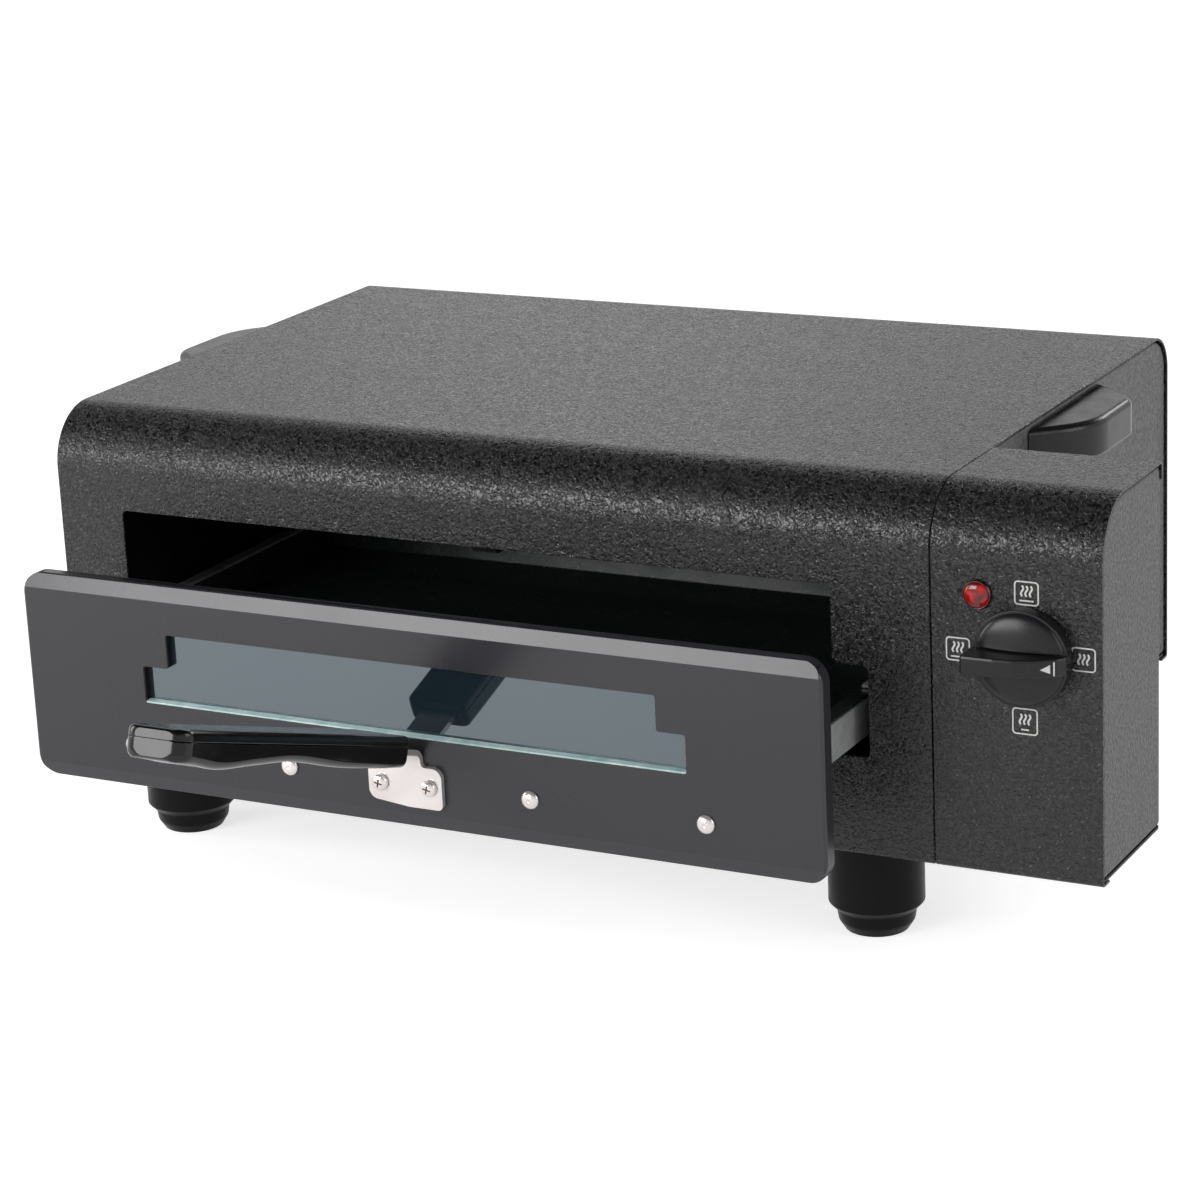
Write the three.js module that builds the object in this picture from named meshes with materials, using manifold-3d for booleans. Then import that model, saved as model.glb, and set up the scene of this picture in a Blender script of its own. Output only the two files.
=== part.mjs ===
// Electric tandoor: a low drawer oven on four feet, with its controls in a box at the right side.
// Millimetres. X runs along the front, Y from the front face to the back, Z up.
import * as THREE from 'three';
import * as BufferGeometryUtils from 'three/addons/utils/BufferGeometryUtils.js';
import Module from 'manifold-3d';

const wasm = await Module();
wasm.setup();

// Clearances
const seatGap = 0.3; // between pieces that rest on each other
const slideGap = 0.4; // between the drawer's rails and their guides
const seamGap = 0.7; // the open joint lines of the casing
const overrun = 6; // how far a cutter passes the wall it cuts

// Oven casing
const casingWidth = 440;
const casingDepth = 302;
const casingHeight = 165;
const casingSheet = 1.2;
const frontBend = 27;
const rearBend = 18;
const hemWidth = 8;
const hemBend = 2;
const panelRecess = 1;
const panelFlange = 9;
const panelEdgeRound = 1.5;
const panelFootRound = 2.4;

// Feet
const footHeight = 45;
const footRadius = 21.3;
const footLowerRadius = 17.8;
const footTreadRadius = 12.5;
const footStep = 34.5; // from the casing down to the narrower lower part
const footChamfer = 3;
const footSideInset = 40;
const footEndInset = 30;
const footStudRadius = 2.5;
const footStudHeight = 2.5;

// Vents in the base
const baseVentLength = 48;
const baseVentWidth = 3;
const baseVentPitch = 55;
const baseVentCount = 5;
const baseVentRowShares = [0.3, 0.7]; // of the casing's depth

// Oven chamber
const chamberLeftSpace = 1; // between its flange and the left side panel's
const chamberRightSpace = 11;
const chamberRearSpace = 21.5; // from the casing's back
const chamberCeilingSpace = 35; // from the casing's top
const chamberFloor = 20;
const chamberSheet = 0.8;
const chamberFlange = 6;
const insulationAir = 4.7; // between the blanket and the casing's top

// Opening for the drawer, an upside-down T
const openingInset = 18; // from the chamber's side to the opening's
const openingDrop = 10; // from the chamber's ceiling to the opening's top
const slotInset = 1.5; // from the chamber's side to the slot's, where the rails pass
const slotClearAbove = 20; // over the rails
const slotClearBelow = 4.5;
const openingCorner = 2.5;

// Heating elements
const rodRadius = 3.25;
const rodBend = 15;
const rodEnd = 14; // how far a cold end stands past the casing's side panel
const upperRodDrop = 12; // from the chamber's ceiling
const lowerRodRise = 13; // from the chamber's floor
const rodFrontRow = 28;
const rodExitInset = 16; // from the control box's back to the row of the second cold end
const rodRearInset = 27.5; // from the chamber's back to the rear row
const rodSideInset = 24; // from the chamber's wall to the element's bends
const rodInnerInset = 52;
const saddleWidth = 12;
const saddleSheet = 1;
const saddleBend = 2;
const saddleFoot = 8;
const bushRadius = 7.5;
const bushLength = 9;
const bushNeck = 5;

// Drawer: front panel
const drawerPull = 46; // how far the drawer stands open at rest
const panelOverlap = 3.5; // how far it passes the slot at each side
const panelHeight = 98;
const panelBottom = 6;
const panelDepth = 8;
const panelSheet = 1.5;
const panelCorner = 10;
const bandHeight = 7; // the upper and lower borders, bent back
const bandSetback = 2.6;

// Drawer: window
const windowBottomShare = 0.43; // of the panel's height
const windowStepShare = 0.607;
const windowTopShare = 0.77;
const windowUpperMargin = 77; // from the panel's side to the window's, above its step
const windowLowerMargin = 63.5;
const windowCorner = 1.2;
const glassThickness = 4;
const glassMargin = 7; // how far the glass passes the window all round
const glassCorner = 1.5;
const glassBevel = 0.5;
const retainerSheet = 0.8;
const retainerFlange = 7;
const retainerLip = 4;

// Drawer: frame and tray
const railInset = 7.5; // from the slot's side to a rail's outer face
const railRise = 43; // from the panel's lower edge
const railHeight = 16.5;
const railSheet = 1.5;
const railRearSpace = 32; // what the guides are longer than the rails
const railTab = 12;
const crossBarMargin = 1.5; // over the panel's lower border
const crossBarGap = 0.9; // under the glass retainer
const crossBarEarGap = 4; // beside the glass retainer
const crossBarSheet = 1.2;
const rearBarHeight = 12;
const trayRearSpace = 6; // what the rails are longer than the tray
const trayRim = 7;
const trayDepth = 12;
const traySheet = 1;
const trayTaper = 5;
const trayCorner = 12;

// Drawer guides
const guideSheet = 1.2;
const guideLip = 6;
const guideStart = 24;
const guideRearInset = 7.5; // from the chamber's back
const guideBend = 2;
const standoffLength = 14;
const standoffInset = 24;

// Rivets and screws of the drawer front
const rivetHeadRadius = 4.2;
const rivetHeadHeight = 2.2;
const rivetShankRadius = 1.8;
const rivetTailRadius = 3.3;
const rivetTailHeight = 1.5;
const rivetHeightShare = 0.59; // of the cross bar's height
const rivetEdgeInset = 55; // from the panel's side to the outer rivets
const innerRivetSpread = 122;
const screwHeadRadius = 3.9;
const screwHeadHeight = 2.6;
const screwHeadShares = [[0, 1], [0.5, 0.92], [0.86, 0.68], [1, 0.4], [1, 0]]; // of its radius and height
const screwEnd = 1.5; // how far a screw passes the cross bar
const screwSpread = 24.5;

// Drawer handle
const handleLength = 175;
const handleWidth = 29.5;
const handleThickness = 15.5;
const handleTilt = THREE.MathUtils.degToRad(19);
const handleTopThickness = 4.6;
const handleStandOff = 20; // from the bracket's bend to the handle's near end
const handleTipRound = 7;
const handleEdgeRound = 2.4;
const handleBellyRound = 3.6;
const handleEndDrop = 1.2;
// How deep the grip's wavy underside lies, along its length
const gripDepthShares = [
  [0, 0.9], [0.12, 0.93], [0.3, 0.92], [0.52, 0.78], [0.68, 0.88], [0.83, 1], [0.93, 0.9], [1, 0.84],
];
const bracketSheet = 2.5;
const bracketWidth = 37;
const bracketDrop = 10; // from the screws to its lower edge
const bracketRise = 9; // from the screws to its upper edge
const neckRise = 5.5; // from there to the bend of its neck
const bracketCorner = 3.5;
const bracketHeelCorner = 8;
const neckWidth = 17;
const neckBend = 5;
const tongueLength = 110;

// Side handles
const earLength = 96;
const earReach = 26;
const earHeight = 17.5;
const earFlank = 23;
const earCorner = 9;
const earWall = 3.5;
const earDrop = 3.5; // from the casing's top to the ear's top
const earSetback = 12; // from the casing's middle
const earEdgeRound = 2;

// Control box
const controlWidth = 75;
const controlDepth = 74;
const controlFlange = 10;
const ventLength = 22;
const ventHeight = 3;
const ventPitch = 8;
const ventCount = 4;

// Heat selector
const knobOffset = 4; // to the right of the control box's middle
const knobDrop = 66.7; // from the casing's top
const knobRadius = 21;
const knobSkirt = 8.5;
const knobRimRound = 1.6;
const barWidth = 8;
const barHeight = 21.2;
const barFall = 8.6; // how much lower the bar's crest is at its marked end
const barCrestShares = [[0.88, 1], [0.5, 0.38], [0.1, 0.08], [-0.3, 0]]; // of the radius and the fall
const cheekRadius = 18.4;
const cheekFloor = 3.2;
const cheekSlopeShares = [0.85, 0.72]; // of the cheek's radius and the skirt's height
const shaftRadius = 3;
const shaftLength = 26;
const shaftSocket = 9;
const shaftFlat = 1.5;
const switchWidth = 32;
const switchDepth = 20;
const switchCorner = 1.5;
const switchBevel = 0.8;
const switchBushRadius = 5.7;
const switchTagWidth = 6.3;
const switchTagSheet = 0.8;

// Pilot lamp
const lampLeft = 20.7; // from the knob's centre
const lampRise = 24.1;
const lampRadius = 6.4;
const lampRim = 1.1;
const lampRimEdge = 1.1;
const lampProud = 1.8;
const lensEdge = 1.3;
const lensDome = 1.6;
const lampBodyRadius = 5;
const lampBodyLength = 24;

// Mains inlet
const inletCentreZ = 42;
const inletWidth = 30;
const inletHeight = 23;
const inletFlange = 5;
const inletFlangeThickness = 2.5;
const inletDepth = 19;
const inletWall = 2.2;
const inletCorner = 4;
const inletInnerCorner = 3;
const pinWidth = 4;
const pinThickness = 2;
const pinSpread = 14;
const pinRise = 4;
const pinProud = 11;
const pinTail = 8;

// Terminal block and wires
const terminalWidth = 34;
const terminalDepth = 14;
const terminalHeight = 12;
const terminalPitch = 11.3;
const terminalWellRadius = 3.4;
const wireRadius = 1.4;
const wireSlack = 15;

// Facets
const bendSteps = 10;
const panelSteps = 7;
const cornerSteps = 4;
const earSteps = 5;
const pipeSteps = 4;
const domeSteps = 3;
const slotSteps = 2;
const knobFaces = 36;
const lampFaces = 20;
const footFaces = 20;
const smallFaces = 12;
const rodFaces = 8;
const wireFaces = 6;
const wireSteps = 8;
const gripSections = 14;
const mergeDistance = 1e-4;

// Values that follow from the ones above
const frameOffset = casingSheet + seamGap;
const innerFront = casingSheet + seatGap;
const basePlateBottom = casingSheet + seatGap;
const basePlateTop = basePlateBottom + casingSheet;
const sidePanelDepth = panelRecess + panelFlange;
const chamberLeft = sidePanelDepth + chamberLeftSpace + chamberFlange;
const chamberRight = casingWidth - sidePanelDepth - chamberRightSpace - chamberFlange;
const chamberRear = casingDepth - chamberRearSpace;
const chamberCeiling = casingHeight - chamberCeilingSpace;
const insulationBottom = chamberCeiling + chamberSheet + seatGap;
const insulationTop = casingHeight - casingSheet - insulationAir;
const drawerCentre = (chamberLeft + chamberRight) / 2;
const halfSlot = (chamberRight - chamberLeft) / 2 - slotInset;
const halfOpening = (chamberRight - chamberLeft) / 2 - openingInset;
const halfPanel = halfSlot + panelOverlap;
const panelTop = panelBottom + panelHeight;
const drawerFace = -(seatGap + panelDepth);
const panelBack = drawerFace + panelSheet;
const railBottom = panelBottom + railRise;
const railTop = railBottom + railHeight;
const railOuter = halfSlot - railInset;
const guideEnd = chamberRear - guideRearInset;
const railLength = guideEnd - railRearSpace;
const trayLength = railLength - trayRearSpace;
const trayTop = railTop + seatGap + traySheet;
const openingBottom = railBottom - slotClearBelow;
const slotTop = railTop + slotClearAbove;
const openingTop = chamberCeiling - openingDrop;
const windowBottom = panelBottom + panelHeight * windowBottomShare;
const windowStep = panelBottom + panelHeight * windowStepShare;
const windowTop = panelBottom + panelHeight * windowTopShare;
const halfWindow = halfPanel - windowLowerMargin;
const glassHalf = halfWindow + glassMargin;
const glassLow = windowBottom - glassMargin;
const glassHigh = windowTop + glassMargin;
const glassFront = panelBack + seatGap;
const retainerWall = seatGap + retainerSheet;
const retainerReach = retainerWall + retainerFlange / 2;
const retainerPocket = glassFront + glassThickness + seatGap;
const retainerBack = retainerPocket + retainerSheet;
const crossBarFront = panelBack + seatGap;
const crossBarBack = crossBarFront + crossBarSheet;
const crossBarBottom = panelBottom + bandHeight + crossBarMargin;
const crossBarTop = glassLow - retainerReach - crossBarGap;
const rivetHeight = crossBarBottom + (crossBarTop - crossBarBottom) * rivetHeightShare;
const bracketFace = drawerFace - seatGap - bracketSheet;
const bracketBottom = rivetHeight - bracketDrop;
const bracketTop = rivetHeight + bracketRise;
const neckHeight = bracketTop + neckRise;
const earCentre = casingDepth / 2 + earSetback;
const controlLeft = casingWidth + seamGap;
const controlMiddle = controlLeft + controlWidth / 2;
const controlRight = controlLeft + controlWidth;
const knobCentreX = controlMiddle + knobOffset;
const knobCentreZ = casingHeight - knobDrop;
const lampCentreX = knobCentreX - lampLeft;
const lampCentreZ = knobCentreZ + lampRise;
const upperRodHeight = chamberCeiling - upperRodDrop;
const lowerRodHeight = chamberFloor + lowerRodRise;
const rodExitRow = controlDepth - rodExitInset;
const rodRearRow = chamberRear - rodRearInset;
const rodMiddleRow = (rodExitRow + rodRearRow) / 2;
const rodTip = casingWidth - panelRecess + rodEnd;

// Outlines

// A run of corners [x, y, radius] with each corner turned into an arc
function filleted(corners, closed = true, steps = cornerSteps) {
  const count = corners.length;
  const at = (i) => new THREE.Vector2(corners[i][0], corners[i][1]);
  const points = [];
  for (let i = 0; i < count; i += 1) {
    const radius = corners[i][2] ?? 0;
    const isEnd = !closed && (i === 0 || i === count - 1);
    if (isEnd || radius === 0) {
      points.push(at(i));
      continue;
    }
    const incoming = at(i).sub(at((i + count - 1) % count)).normalize();
    const outgoing = at((i + 1) % count).sub(at(i)).normalize();
    const turn = Math.atan2(incoming.cross(outgoing), incoming.dot(outgoing));
    const start = at(i).addScaledVector(incoming, -radius * Math.tan(Math.abs(turn) / 2));
    const side = new THREE.Vector2(-incoming.y, incoming.x).multiplyScalar(Math.sign(turn) * radius);
    const centre = start.clone().add(side);
    for (let k = 0; k <= steps; k += 1) {
      points.push(start.clone().rotateAround(centre, (turn * k) / steps));
    }
  }
  return points;
}

// An open run of points moved sideways, to the right of its direction
function besides(points, distance) {
  return points.map((point, i) => {
    const before = points[Math.max(i - 1, 0)];
    const after = points[Math.min(i + 1, points.length - 1)];
    const first = (i === 0 ? after.clone().sub(point) : point.clone().sub(before)).normalize();
    const last = (i === points.length - 1 ? first.clone() : after.clone().sub(point)).normalize();
    const middle = first.clone().add(last).normalize();
    const reach = distance / middle.dot(first);
    return new THREE.Vector2(point.x + middle.y * reach, point.y - middle.x * reach);
  });
}

// The section of a folded sheet, whose thickness lies to the right of its outline
function foldedSheet(corners, thickness, steps = cornerSteps) {
  const outer = filleted(corners, false, steps);
  return [...outer, ...besides(outer, thickness).reverse()];
}

function rectangle(x0, y0, x1, y1, radius = 0) {
  return [[x0, y0, radius], [x1, y0, radius], [x1, y1, radius], [x0, y1, radius]];
}

function circle(x, y, radius, faces = smallFaces) {
  return Array.from({ length: faces }, (_, i) => {
    const angle = (2 * Math.PI * i) / faces;
    return new THREE.Vector2(x + radius * Math.cos(angle), y + radius * Math.sin(angle));
  });
}

// Solids

function extruded(outline, depth, holes = [], bevel = 0) {
  const shape = new THREE.Shape(outline);
  shape.holes = holes.map((hole) => new THREE.Path(hole));
  if (bevel === 0) return new THREE.ExtrudeGeometry(shape, { depth, bevelEnabled: false });
  const geometry = new THREE.ExtrudeGeometry(shape, {
    depth: depth - 2 * bevel,
    bevelThickness: bevel,
    bevelSize: bevel,
    bevelOffset: -bevel,
    bevelSegments: 2,
  });
  return geometry.translate(0, 0, bevel);
}

// An outline in X and Y, raised from z0 to z1
function alongZ(outline, z0, z1, holes = [], bevel = 0) {
  return extruded(outline, z1 - z0, holes, bevel).translate(0, 0, z0);
}

// An outline in X and Z, carried from y0 back to y1
function alongY(outline, y0, y1, holes = [], bevel = 0) {
  return extruded(outline, y1 - y0, holes, bevel).rotateX(Math.PI / 2).translate(0, y1, 0);
}

// An outline in Y and Z, carried from x0 to x1
function alongX(outline, x0, x1, holes = [], bevel = 0) {
  const cycle = new THREE.Matrix4().makeBasis(
    new THREE.Vector3(0, 1, 0),
    new THREE.Vector3(0, 0, 1),
    new THREE.Vector3(1, 0, 0),
  );
  return extruded(outline, x1 - x0, holes, bevel).applyMatrix4(cycle).translate(x0, 0, 0);
}

function block(x0, y0, z0, x1, y1, z1) {
  const geometry = new THREE.BoxGeometry(x1 - x0, y1 - y0, z1 - z0);
  return geometry.translate((x0 + x1) / 2, (y0 + y1) / 2, (z0 + z1) / 2);
}

// A profile of [radius, height] turned about Z
function turned(profile, faces) {
  const points = profile.map(([radius, height]) => new THREE.Vector2(radius, height));
  return new THREE.LatheGeometry(points, faces).rotateX(Math.PI / 2);
}

// A profile of [radius, distance] turned about an axis that points to the front
function turnedToFront(profile, faces) {
  return turned(profile, faces).rotateX(Math.PI / 2);
}

// A skin over rings of equally many points, closed at both ends
function loft(rings) {
  const count = rings[0].length;
  const positions = rings.flat().flatMap((point) => [point.x, point.y, point.z]);
  const triangles = [];
  for (let ring = 0; ring < rings.length - 1; ring += 1) {
    for (let i = 0; i < count; i += 1) {
      const a = ring * count + i;
      const b = ring * count + ((i + 1) % count);
      triangles.push(a, b, b + count, a, b + count, a + count);
    }
  }
  const last = (rings.length - 1) * count;
  for (let i = 1; i < count - 1; i += 1) {
    triangles.push(0, i + 1, i, last, last + i, last + i + 1);
  }
  const geometry = new THREE.BufferGeometry();
  geometry.setAttribute('position', new THREE.Float32BufferAttribute(positions, 3));
  geometry.setIndex(triangles);
  return geometry;
}

// A path of straight runs and round bends in space, taken one point at a time
class BentPath extends THREE.Curve {
  constructor(points) {
    super();
    this.points = points;
  }

  getPoint(share, target = new THREE.Vector3()) {
    const place = share * (this.points.length - 1);
    const i = Math.min(Math.floor(place), this.points.length - 2);
    return target.copy(this.points[i]).lerp(this.points[i + 1], place - i);
  }

  getPointAt(share, target) {
    return this.getPoint(share, target);
  }

  getTangentAt(share, target) {
    return this.getTangent(share, target);
  }
}

function rod(points, radius, faces) {
  return new THREE.ExtrudeGeometry(new THREE.Shape(circle(0, 0, radius, faces)), {
    steps: points.length - 1,
    extrudePath: new BentPath(points),
  });
}

function solidOf(geometry) {
  const bare = geometry.clone();
  bare.deleteAttribute('normal');
  bare.deleteAttribute('uv');
  const merged = BufferGeometryUtils.mergeVertices(bare, mergeDistance);
  const corners = merged.index.array;
  const triangles = [];
  for (let i = 0; i < corners.length; i += 3) {
    const [a, b, c] = corners.slice(i, i + 3);
    if (a !== b && b !== c && c !== a) triangles.push(a, b, c);
  }
  return new wasm.Manifold(new wasm.Mesh({
    numProp: 3,
    vertProperties: merged.attributes.position.array,
    triVerts: new Uint32Array(triangles),
  }));
}

function geometryOf(solid) {
  const { vertProperties, triVerts } = solid.getMesh();
  const geometry = new THREE.BufferGeometry();
  geometry.setAttribute('position', new THREE.BufferAttribute(vertProperties, 3));
  geometry.setIndex(new THREE.BufferAttribute(triVerts, 1));
  geometry.computeVertexNormals();
  return geometry;
}

function cut(body, ...tools) {
  return geometryOf(tools.reduce((left, tool) => left.subtract(solidOf(tool)), solidOf(body)));
}

function join(body, ...others) {
  return geometryOf(others.reduce((sum, other) => sum.add(solidOf(other)), solidOf(body)));
}

function common(body, other) {
  return geometryOf(solidOf(body).intersect(solidOf(other)));
}

// Materials

const finish = (color, roughness, metalness) => () => (
  new THREE.MeshStandardMaterial({ color, roughness, metalness })
);
const powderCoat = finish(0x37383a, 0.62, 0.1);
const sidePaint = finish(0x3c3d3e, 0.6, 0.1);
const satinPaint = finish(0x434248, 0.42, 0.2);
const bakelite = finish(0x0d0d0e, 0.16, 0);
const feetPlastic = finish(0x151515, 0.42, 0);
const polishedSteel = finish(0xd8d2d0, 0.2, 1);
const zincSteel = finish(0xa9adaf, 0.42, 1);
const darkSteel = finish(0x2b2b2c, 0.55, 0.8);
const elementSteel = finish(0x4f4c48, 0.5, 0.9);
const enamel = finish(0x2a2d2b, 0.35, 0.1);
const brass = finish(0xb08d4a, 0.3, 1);
const ceramic = finish(0xe6e0d2, 0.6, 0);
const woolMat = finish(0xcfc7ac, 0.95, 0);
const redLens = finish(0xb01418, 0.18, 0);
const wireCover = finish(0x8c3b2a, 0.7, 0);
const windowPane = () => new THREE.MeshStandardMaterial({
  color: 0x93a6ab,
  roughness: 0.05,
  metalness: 0,
  transparent: true,
  opacity: 0.5,
});

function place(parent, name, geometry, material) {
  const mesh = new THREE.Mesh(geometry, material());
  mesh.name = name;
  parent.add(mesh);
}

const tandoor = new THREE.Group();
const oven = new THREE.Group();
oven.position.z = footHeight;
tandoor.add(oven);

// Casing

// Front, top and back in one bent sheet, with the opening cut in its front
function casingWrap() {
  const section = foldedSheet([
    [hemWidth, 0],
    [0, 0, hemBend],
    [0, casingHeight, frontBend],
    [casingDepth, casingHeight, rearBend],
    [casingDepth, 0, hemBend],
    [casingDepth - hemWidth, 0],
  ], casingSheet, bendSteps);
  const opening = filleted([
    [drawerCentre - halfSlot, openingBottom, openingCorner],
    [drawerCentre + halfSlot, openingBottom, openingCorner],
    [drawerCentre + halfSlot, slotTop, openingCorner],
    [drawerCentre + halfOpening, slotTop, openingCorner],
    [drawerCentre + halfOpening, openingTop, openingCorner],
    [drawerCentre - halfOpening, openingTop, openingCorner],
    [drawerCentre - halfOpening, slotTop, openingCorner],
    [drawerCentre - halfSlot, slotTop, openingCorner],
  ]);
  return cut(alongX(section, 0, casingWidth), alongY(opening, -overrun, overrun));
}

// A pressed panel with a rounded edge and a flange turned inwards all round
function dishedPanel(corners, innerCorners, x0, x1, facesRight) {
  const outer = alongX(
    filleted(corners, true, panelSteps),
    facesRight ? x0 - panelEdgeRound : x0,
    facesRight ? x1 : x1 + panelEdgeRound,
    [],
    panelEdgeRound,
  );
  const inner = alongX(
    filleted(innerCorners, true, panelSteps),
    facesRight ? x0 - overrun : x0 + casingSheet,
    facesRight ? x1 - casingSheet : x1 + overrun,
  );
  const [far, near] = facesRight ? [x0 - overrun, x0] : [x1, x1 + overrun];
  const skirt = block(far, -overrun, -overrun, near, casingDepth, casingHeight);
  return cut(outer, inner, skirt);
}

// A side's outline at a given distance inside the wrap, with tighter foot corners inside the flange
function sideCorners(inset, depth, rearRadius) {
  const within = inset - frameOffset;
  const floor = basePlateTop + seatGap + within;
  const footRound = Math.max(panelFootRound - 2 * within, 0);
  return [
    [inset, floor, footRound],
    [depth - inset, floor, footRound],
    [depth - inset, casingHeight - inset, rearRadius === 0 ? footRound : rearRadius - inset],
    [inset, casingHeight - inset, frontBend - inset],
  ];
}

function sidePanel(x0, x1, facesRight) {
  return dishedPanel(
    sideCorners(frameOffset, casingDepth, rearBend),
    sideCorners(frameOffset + casingSheet, casingDepth, rearBend),
    x0,
    x1,
    facesRight,
  );
}

const rodRows = [rodFrontRow, rodExitRow];
const rodHeights = { upper: upperRodHeight, lower: lowerRodHeight };

// Round holes through the right side for the cold ends of both elements
function rodHoles(radius, x0, x1) {
  return Object.values(rodHeights).flatMap((height) => rodRows.map((row) => (
    alongX(circle(row, height, radius), x0, x1)
  )));
}

function rightSidePanel() {
  const x1 = casingWidth - panelRecess;
  const panel = sidePanel(x1 - panelFlange, x1, true);
  return cut(panel, ...rodHoles(bushNeck + seatGap, x1 - overrun, x1 + overrun));
}

function footPlaces() {
  const left = footSideInset;
  const right = casingWidth - footSideInset;
  const front = footEndInset;
  const rear = casingDepth - footEndInset;
  return {
    front_left: [left, front],
    front_right: [right, front],
    rear_left: [left, rear],
    rear_right: [right, rear],
  };
}

// The bottom, with a hole for each foot's stud and two rows of vent slots
function basePlate() {
  const holes = Object.values(footPlaces()).map(([x, y]) => circle(x, y, footStudRadius + seatGap));
  const half = baseVentWidth / 2;
  const halfLength = baseVentLength / 2;
  for (let column = 0; column < baseVentCount; column += 1) {
    for (const share of baseVentRowShares) {
      const x = casingWidth / 2 + (column - (baseVentCount - 1) / 2) * baseVentPitch;
      const y = share * casingDepth;
      const slot = rectangle(x - half, y - halfLength, x + half, y + halfLength, half);
      holes.push(filleted(slot, true, slotSteps));
    }
  }
  const outline = filleted(rectangle(
    panelRecess,
    frameOffset,
    casingWidth - panelRecess,
    casingDepth - frameOffset,
    hemBend,
  ));
  return alongZ(outline, basePlateBottom, basePlateTop, holes);
}

// A foot: a turned cup with a step, a rounded bottom and a stud moulded into its top
function foot() {
  const round = footLowerRadius - footTreadRadius;
  const profile = [[0, -footHeight], [footTreadRadius, -footHeight]];
  for (let k = 1; k <= domeSteps; k += 1) {
    const angle = (Math.PI / 2) * (k / domeSteps);
    profile.push([
      footTreadRadius + round * Math.sin(angle),
      -footHeight + round * (1 - Math.cos(angle)),
    ]);
  }
  profile.push(
    [footLowerRadius, -footStep],
    [footRadius, footChamfer - footStep],
    [footRadius, basePlateBottom - seatGap],
    [footStudRadius, basePlateBottom - seatGap],
    [footStudRadius, basePlateTop + footStudHeight],
    [0, basePlateTop + footStudHeight],
  );
  return turned(profile, footFaces);
}

place(oven, 'casing_wrap', casingWrap(), powderCoat);
place(oven, 'side_panel_left', sidePanel(panelRecess, panelRecess + panelFlange, false), sidePaint);
place(oven, 'side_panel_right', rightSidePanel(), sidePaint);
place(oven, 'base_plate', basePlate(), darkSteel);
for (const [where, [x, y]] of Object.entries(footPlaces())) {
  place(oven, `foot_${where}`, foot().translate(x, y, 0), feetPlastic);
}

// Carrying handles

// Half the plan of an ear: a bar that leaves the wall by two slanting flanks
function earPlan(inset) {
  const half = earLength / 2 - inset;
  const slope = earFlank / earReach;
  return [
    [0, earCentre - half],
    [earReach - inset, earCentre - half + (earReach - inset) * slope, earCorner - inset],
    [earReach - inset, earCentre + half - (earReach - inset) * slope, earCorner - inset],
    [0, earCentre + half],
  ];
}

// An ear at the right side: a moulded grip with a deck on top and room for the fingers below
function carryEar() {
  const top = casingHeight - earDrop;
  const bottom = top - earHeight;
  const outline = filleted(earPlan(0), true, earSteps);
  const innerOutline = filleted(earPlan(earWall), true, earSteps);
  const upTo = (x) => block(-overrun, 0, 0, x, casingDepth, casingHeight);
  const hollow = alongZ(innerOutline, bottom - overrun, top - earWall);
  return cut(
    alongZ(outline, bottom, top, [], earEdgeRound),
    cut(hollow, upTo(earWall + earEdgeRound)),
    upTo(earEdgeRound),
  );
}

const earSeat = panelRecess + earEdgeRound - seatGap;
const rightEar = carryEar().translate(casingWidth - earSeat, 0, 0);
const leftEar = carryEar().rotateZ(Math.PI).translate(earSeat, 2 * earCentre, 0);
place(oven, 'carry_handle_right', rightEar, bakelite);
place(oven, 'carry_handle_left', leftEar, bakelite);

// Oven chamber

// A box open to the front, with a flange that meets the casing's front
function ovenChamber() {
  const outer = block(
    chamberLeft - chamberSheet,
    innerFront,
    chamberFloor - chamberSheet,
    chamberRight + chamberSheet,
    chamberRear + chamberSheet,
    chamberCeiling + chamberSheet,
  );
  const flange = block(
    chamberLeft - chamberFlange,
    innerFront,
    chamberFloor - chamberFlange,
    chamberRight + chamberFlange,
    innerFront + chamberSheet,
    chamberCeiling + chamberFlange,
  );
  const inside = block(
    chamberLeft,
    -overrun,
    chamberFloor,
    chamberRight,
    chamberRear,
    chamberCeiling,
  );
  const holes = rodHoles(rodRadius + seatGap, chamberRight - overrun, chamberRight + overrun);
  return cut(join(outer, flange), inside, ...holes);
}

// The blanket of mineral wool that lies on the chamber
function insulationBlanket() {
  const outline = rectangle(chamberLeft, frontBend, chamberRight, chamberRear, panelFootRound);
  return alongZ(filleted(outline), insulationBottom, insulationTop, [], panelEdgeRound);
}

place(oven, 'oven_chamber', ovenChamber(), darkSteel);
place(oven, 'insulation_blanket', insulationBlanket(), woolMat);

// Heating elements

// One long rod, bent into three bays, with both cold ends at the right
function heatingElement(height) {
  const left = chamberLeft + rodSideInset;
  const right = chamberRight - rodSideInset;
  const inner = left + rodInnerInset;
  const plan = filleted([
    [rodTip, rodFrontRow],
    [left, rodFrontRow, rodBend],
    [left, rodRearRow, rodBend],
    [right, rodRearRow, rodBend],
    [right, rodMiddleRow, rodBend],
    [inner, rodMiddleRow, rodBend],
    [inner, rodExitRow, rodBend],
    [rodTip, rodExitRow],
  ], false, pipeSteps);
  return rod(plan.map(({ x, y }) => new THREE.Vector3(x, y, height)), rodRadius, rodFaces);
}

// A strip that carries an element, standing off the chamber's ceiling or floor
function elementSaddle(height, wall, x) {
  const away = Math.sign(height - wall);
  const strip = height - rodRadius - seatGap;
  const seat = wall + away * seatGap;
  const base = away > 0 ? seat + saddleSheet : seat;
  const front = rodFrontRow - rodBend;
  const rear = rodRearRow + rodBend;
  const section = foldedSheet([
    [front - saddleFoot, base],
    [front, base, saddleBend],
    [front, strip, saddleBend],
    [rear, strip, saddleBend],
    [rear, base, saddleBend],
    [rear + saddleFoot, base],
  ], saddleSheet, slotSteps);
  return alongX(section, x, x + saddleWidth);
}

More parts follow.
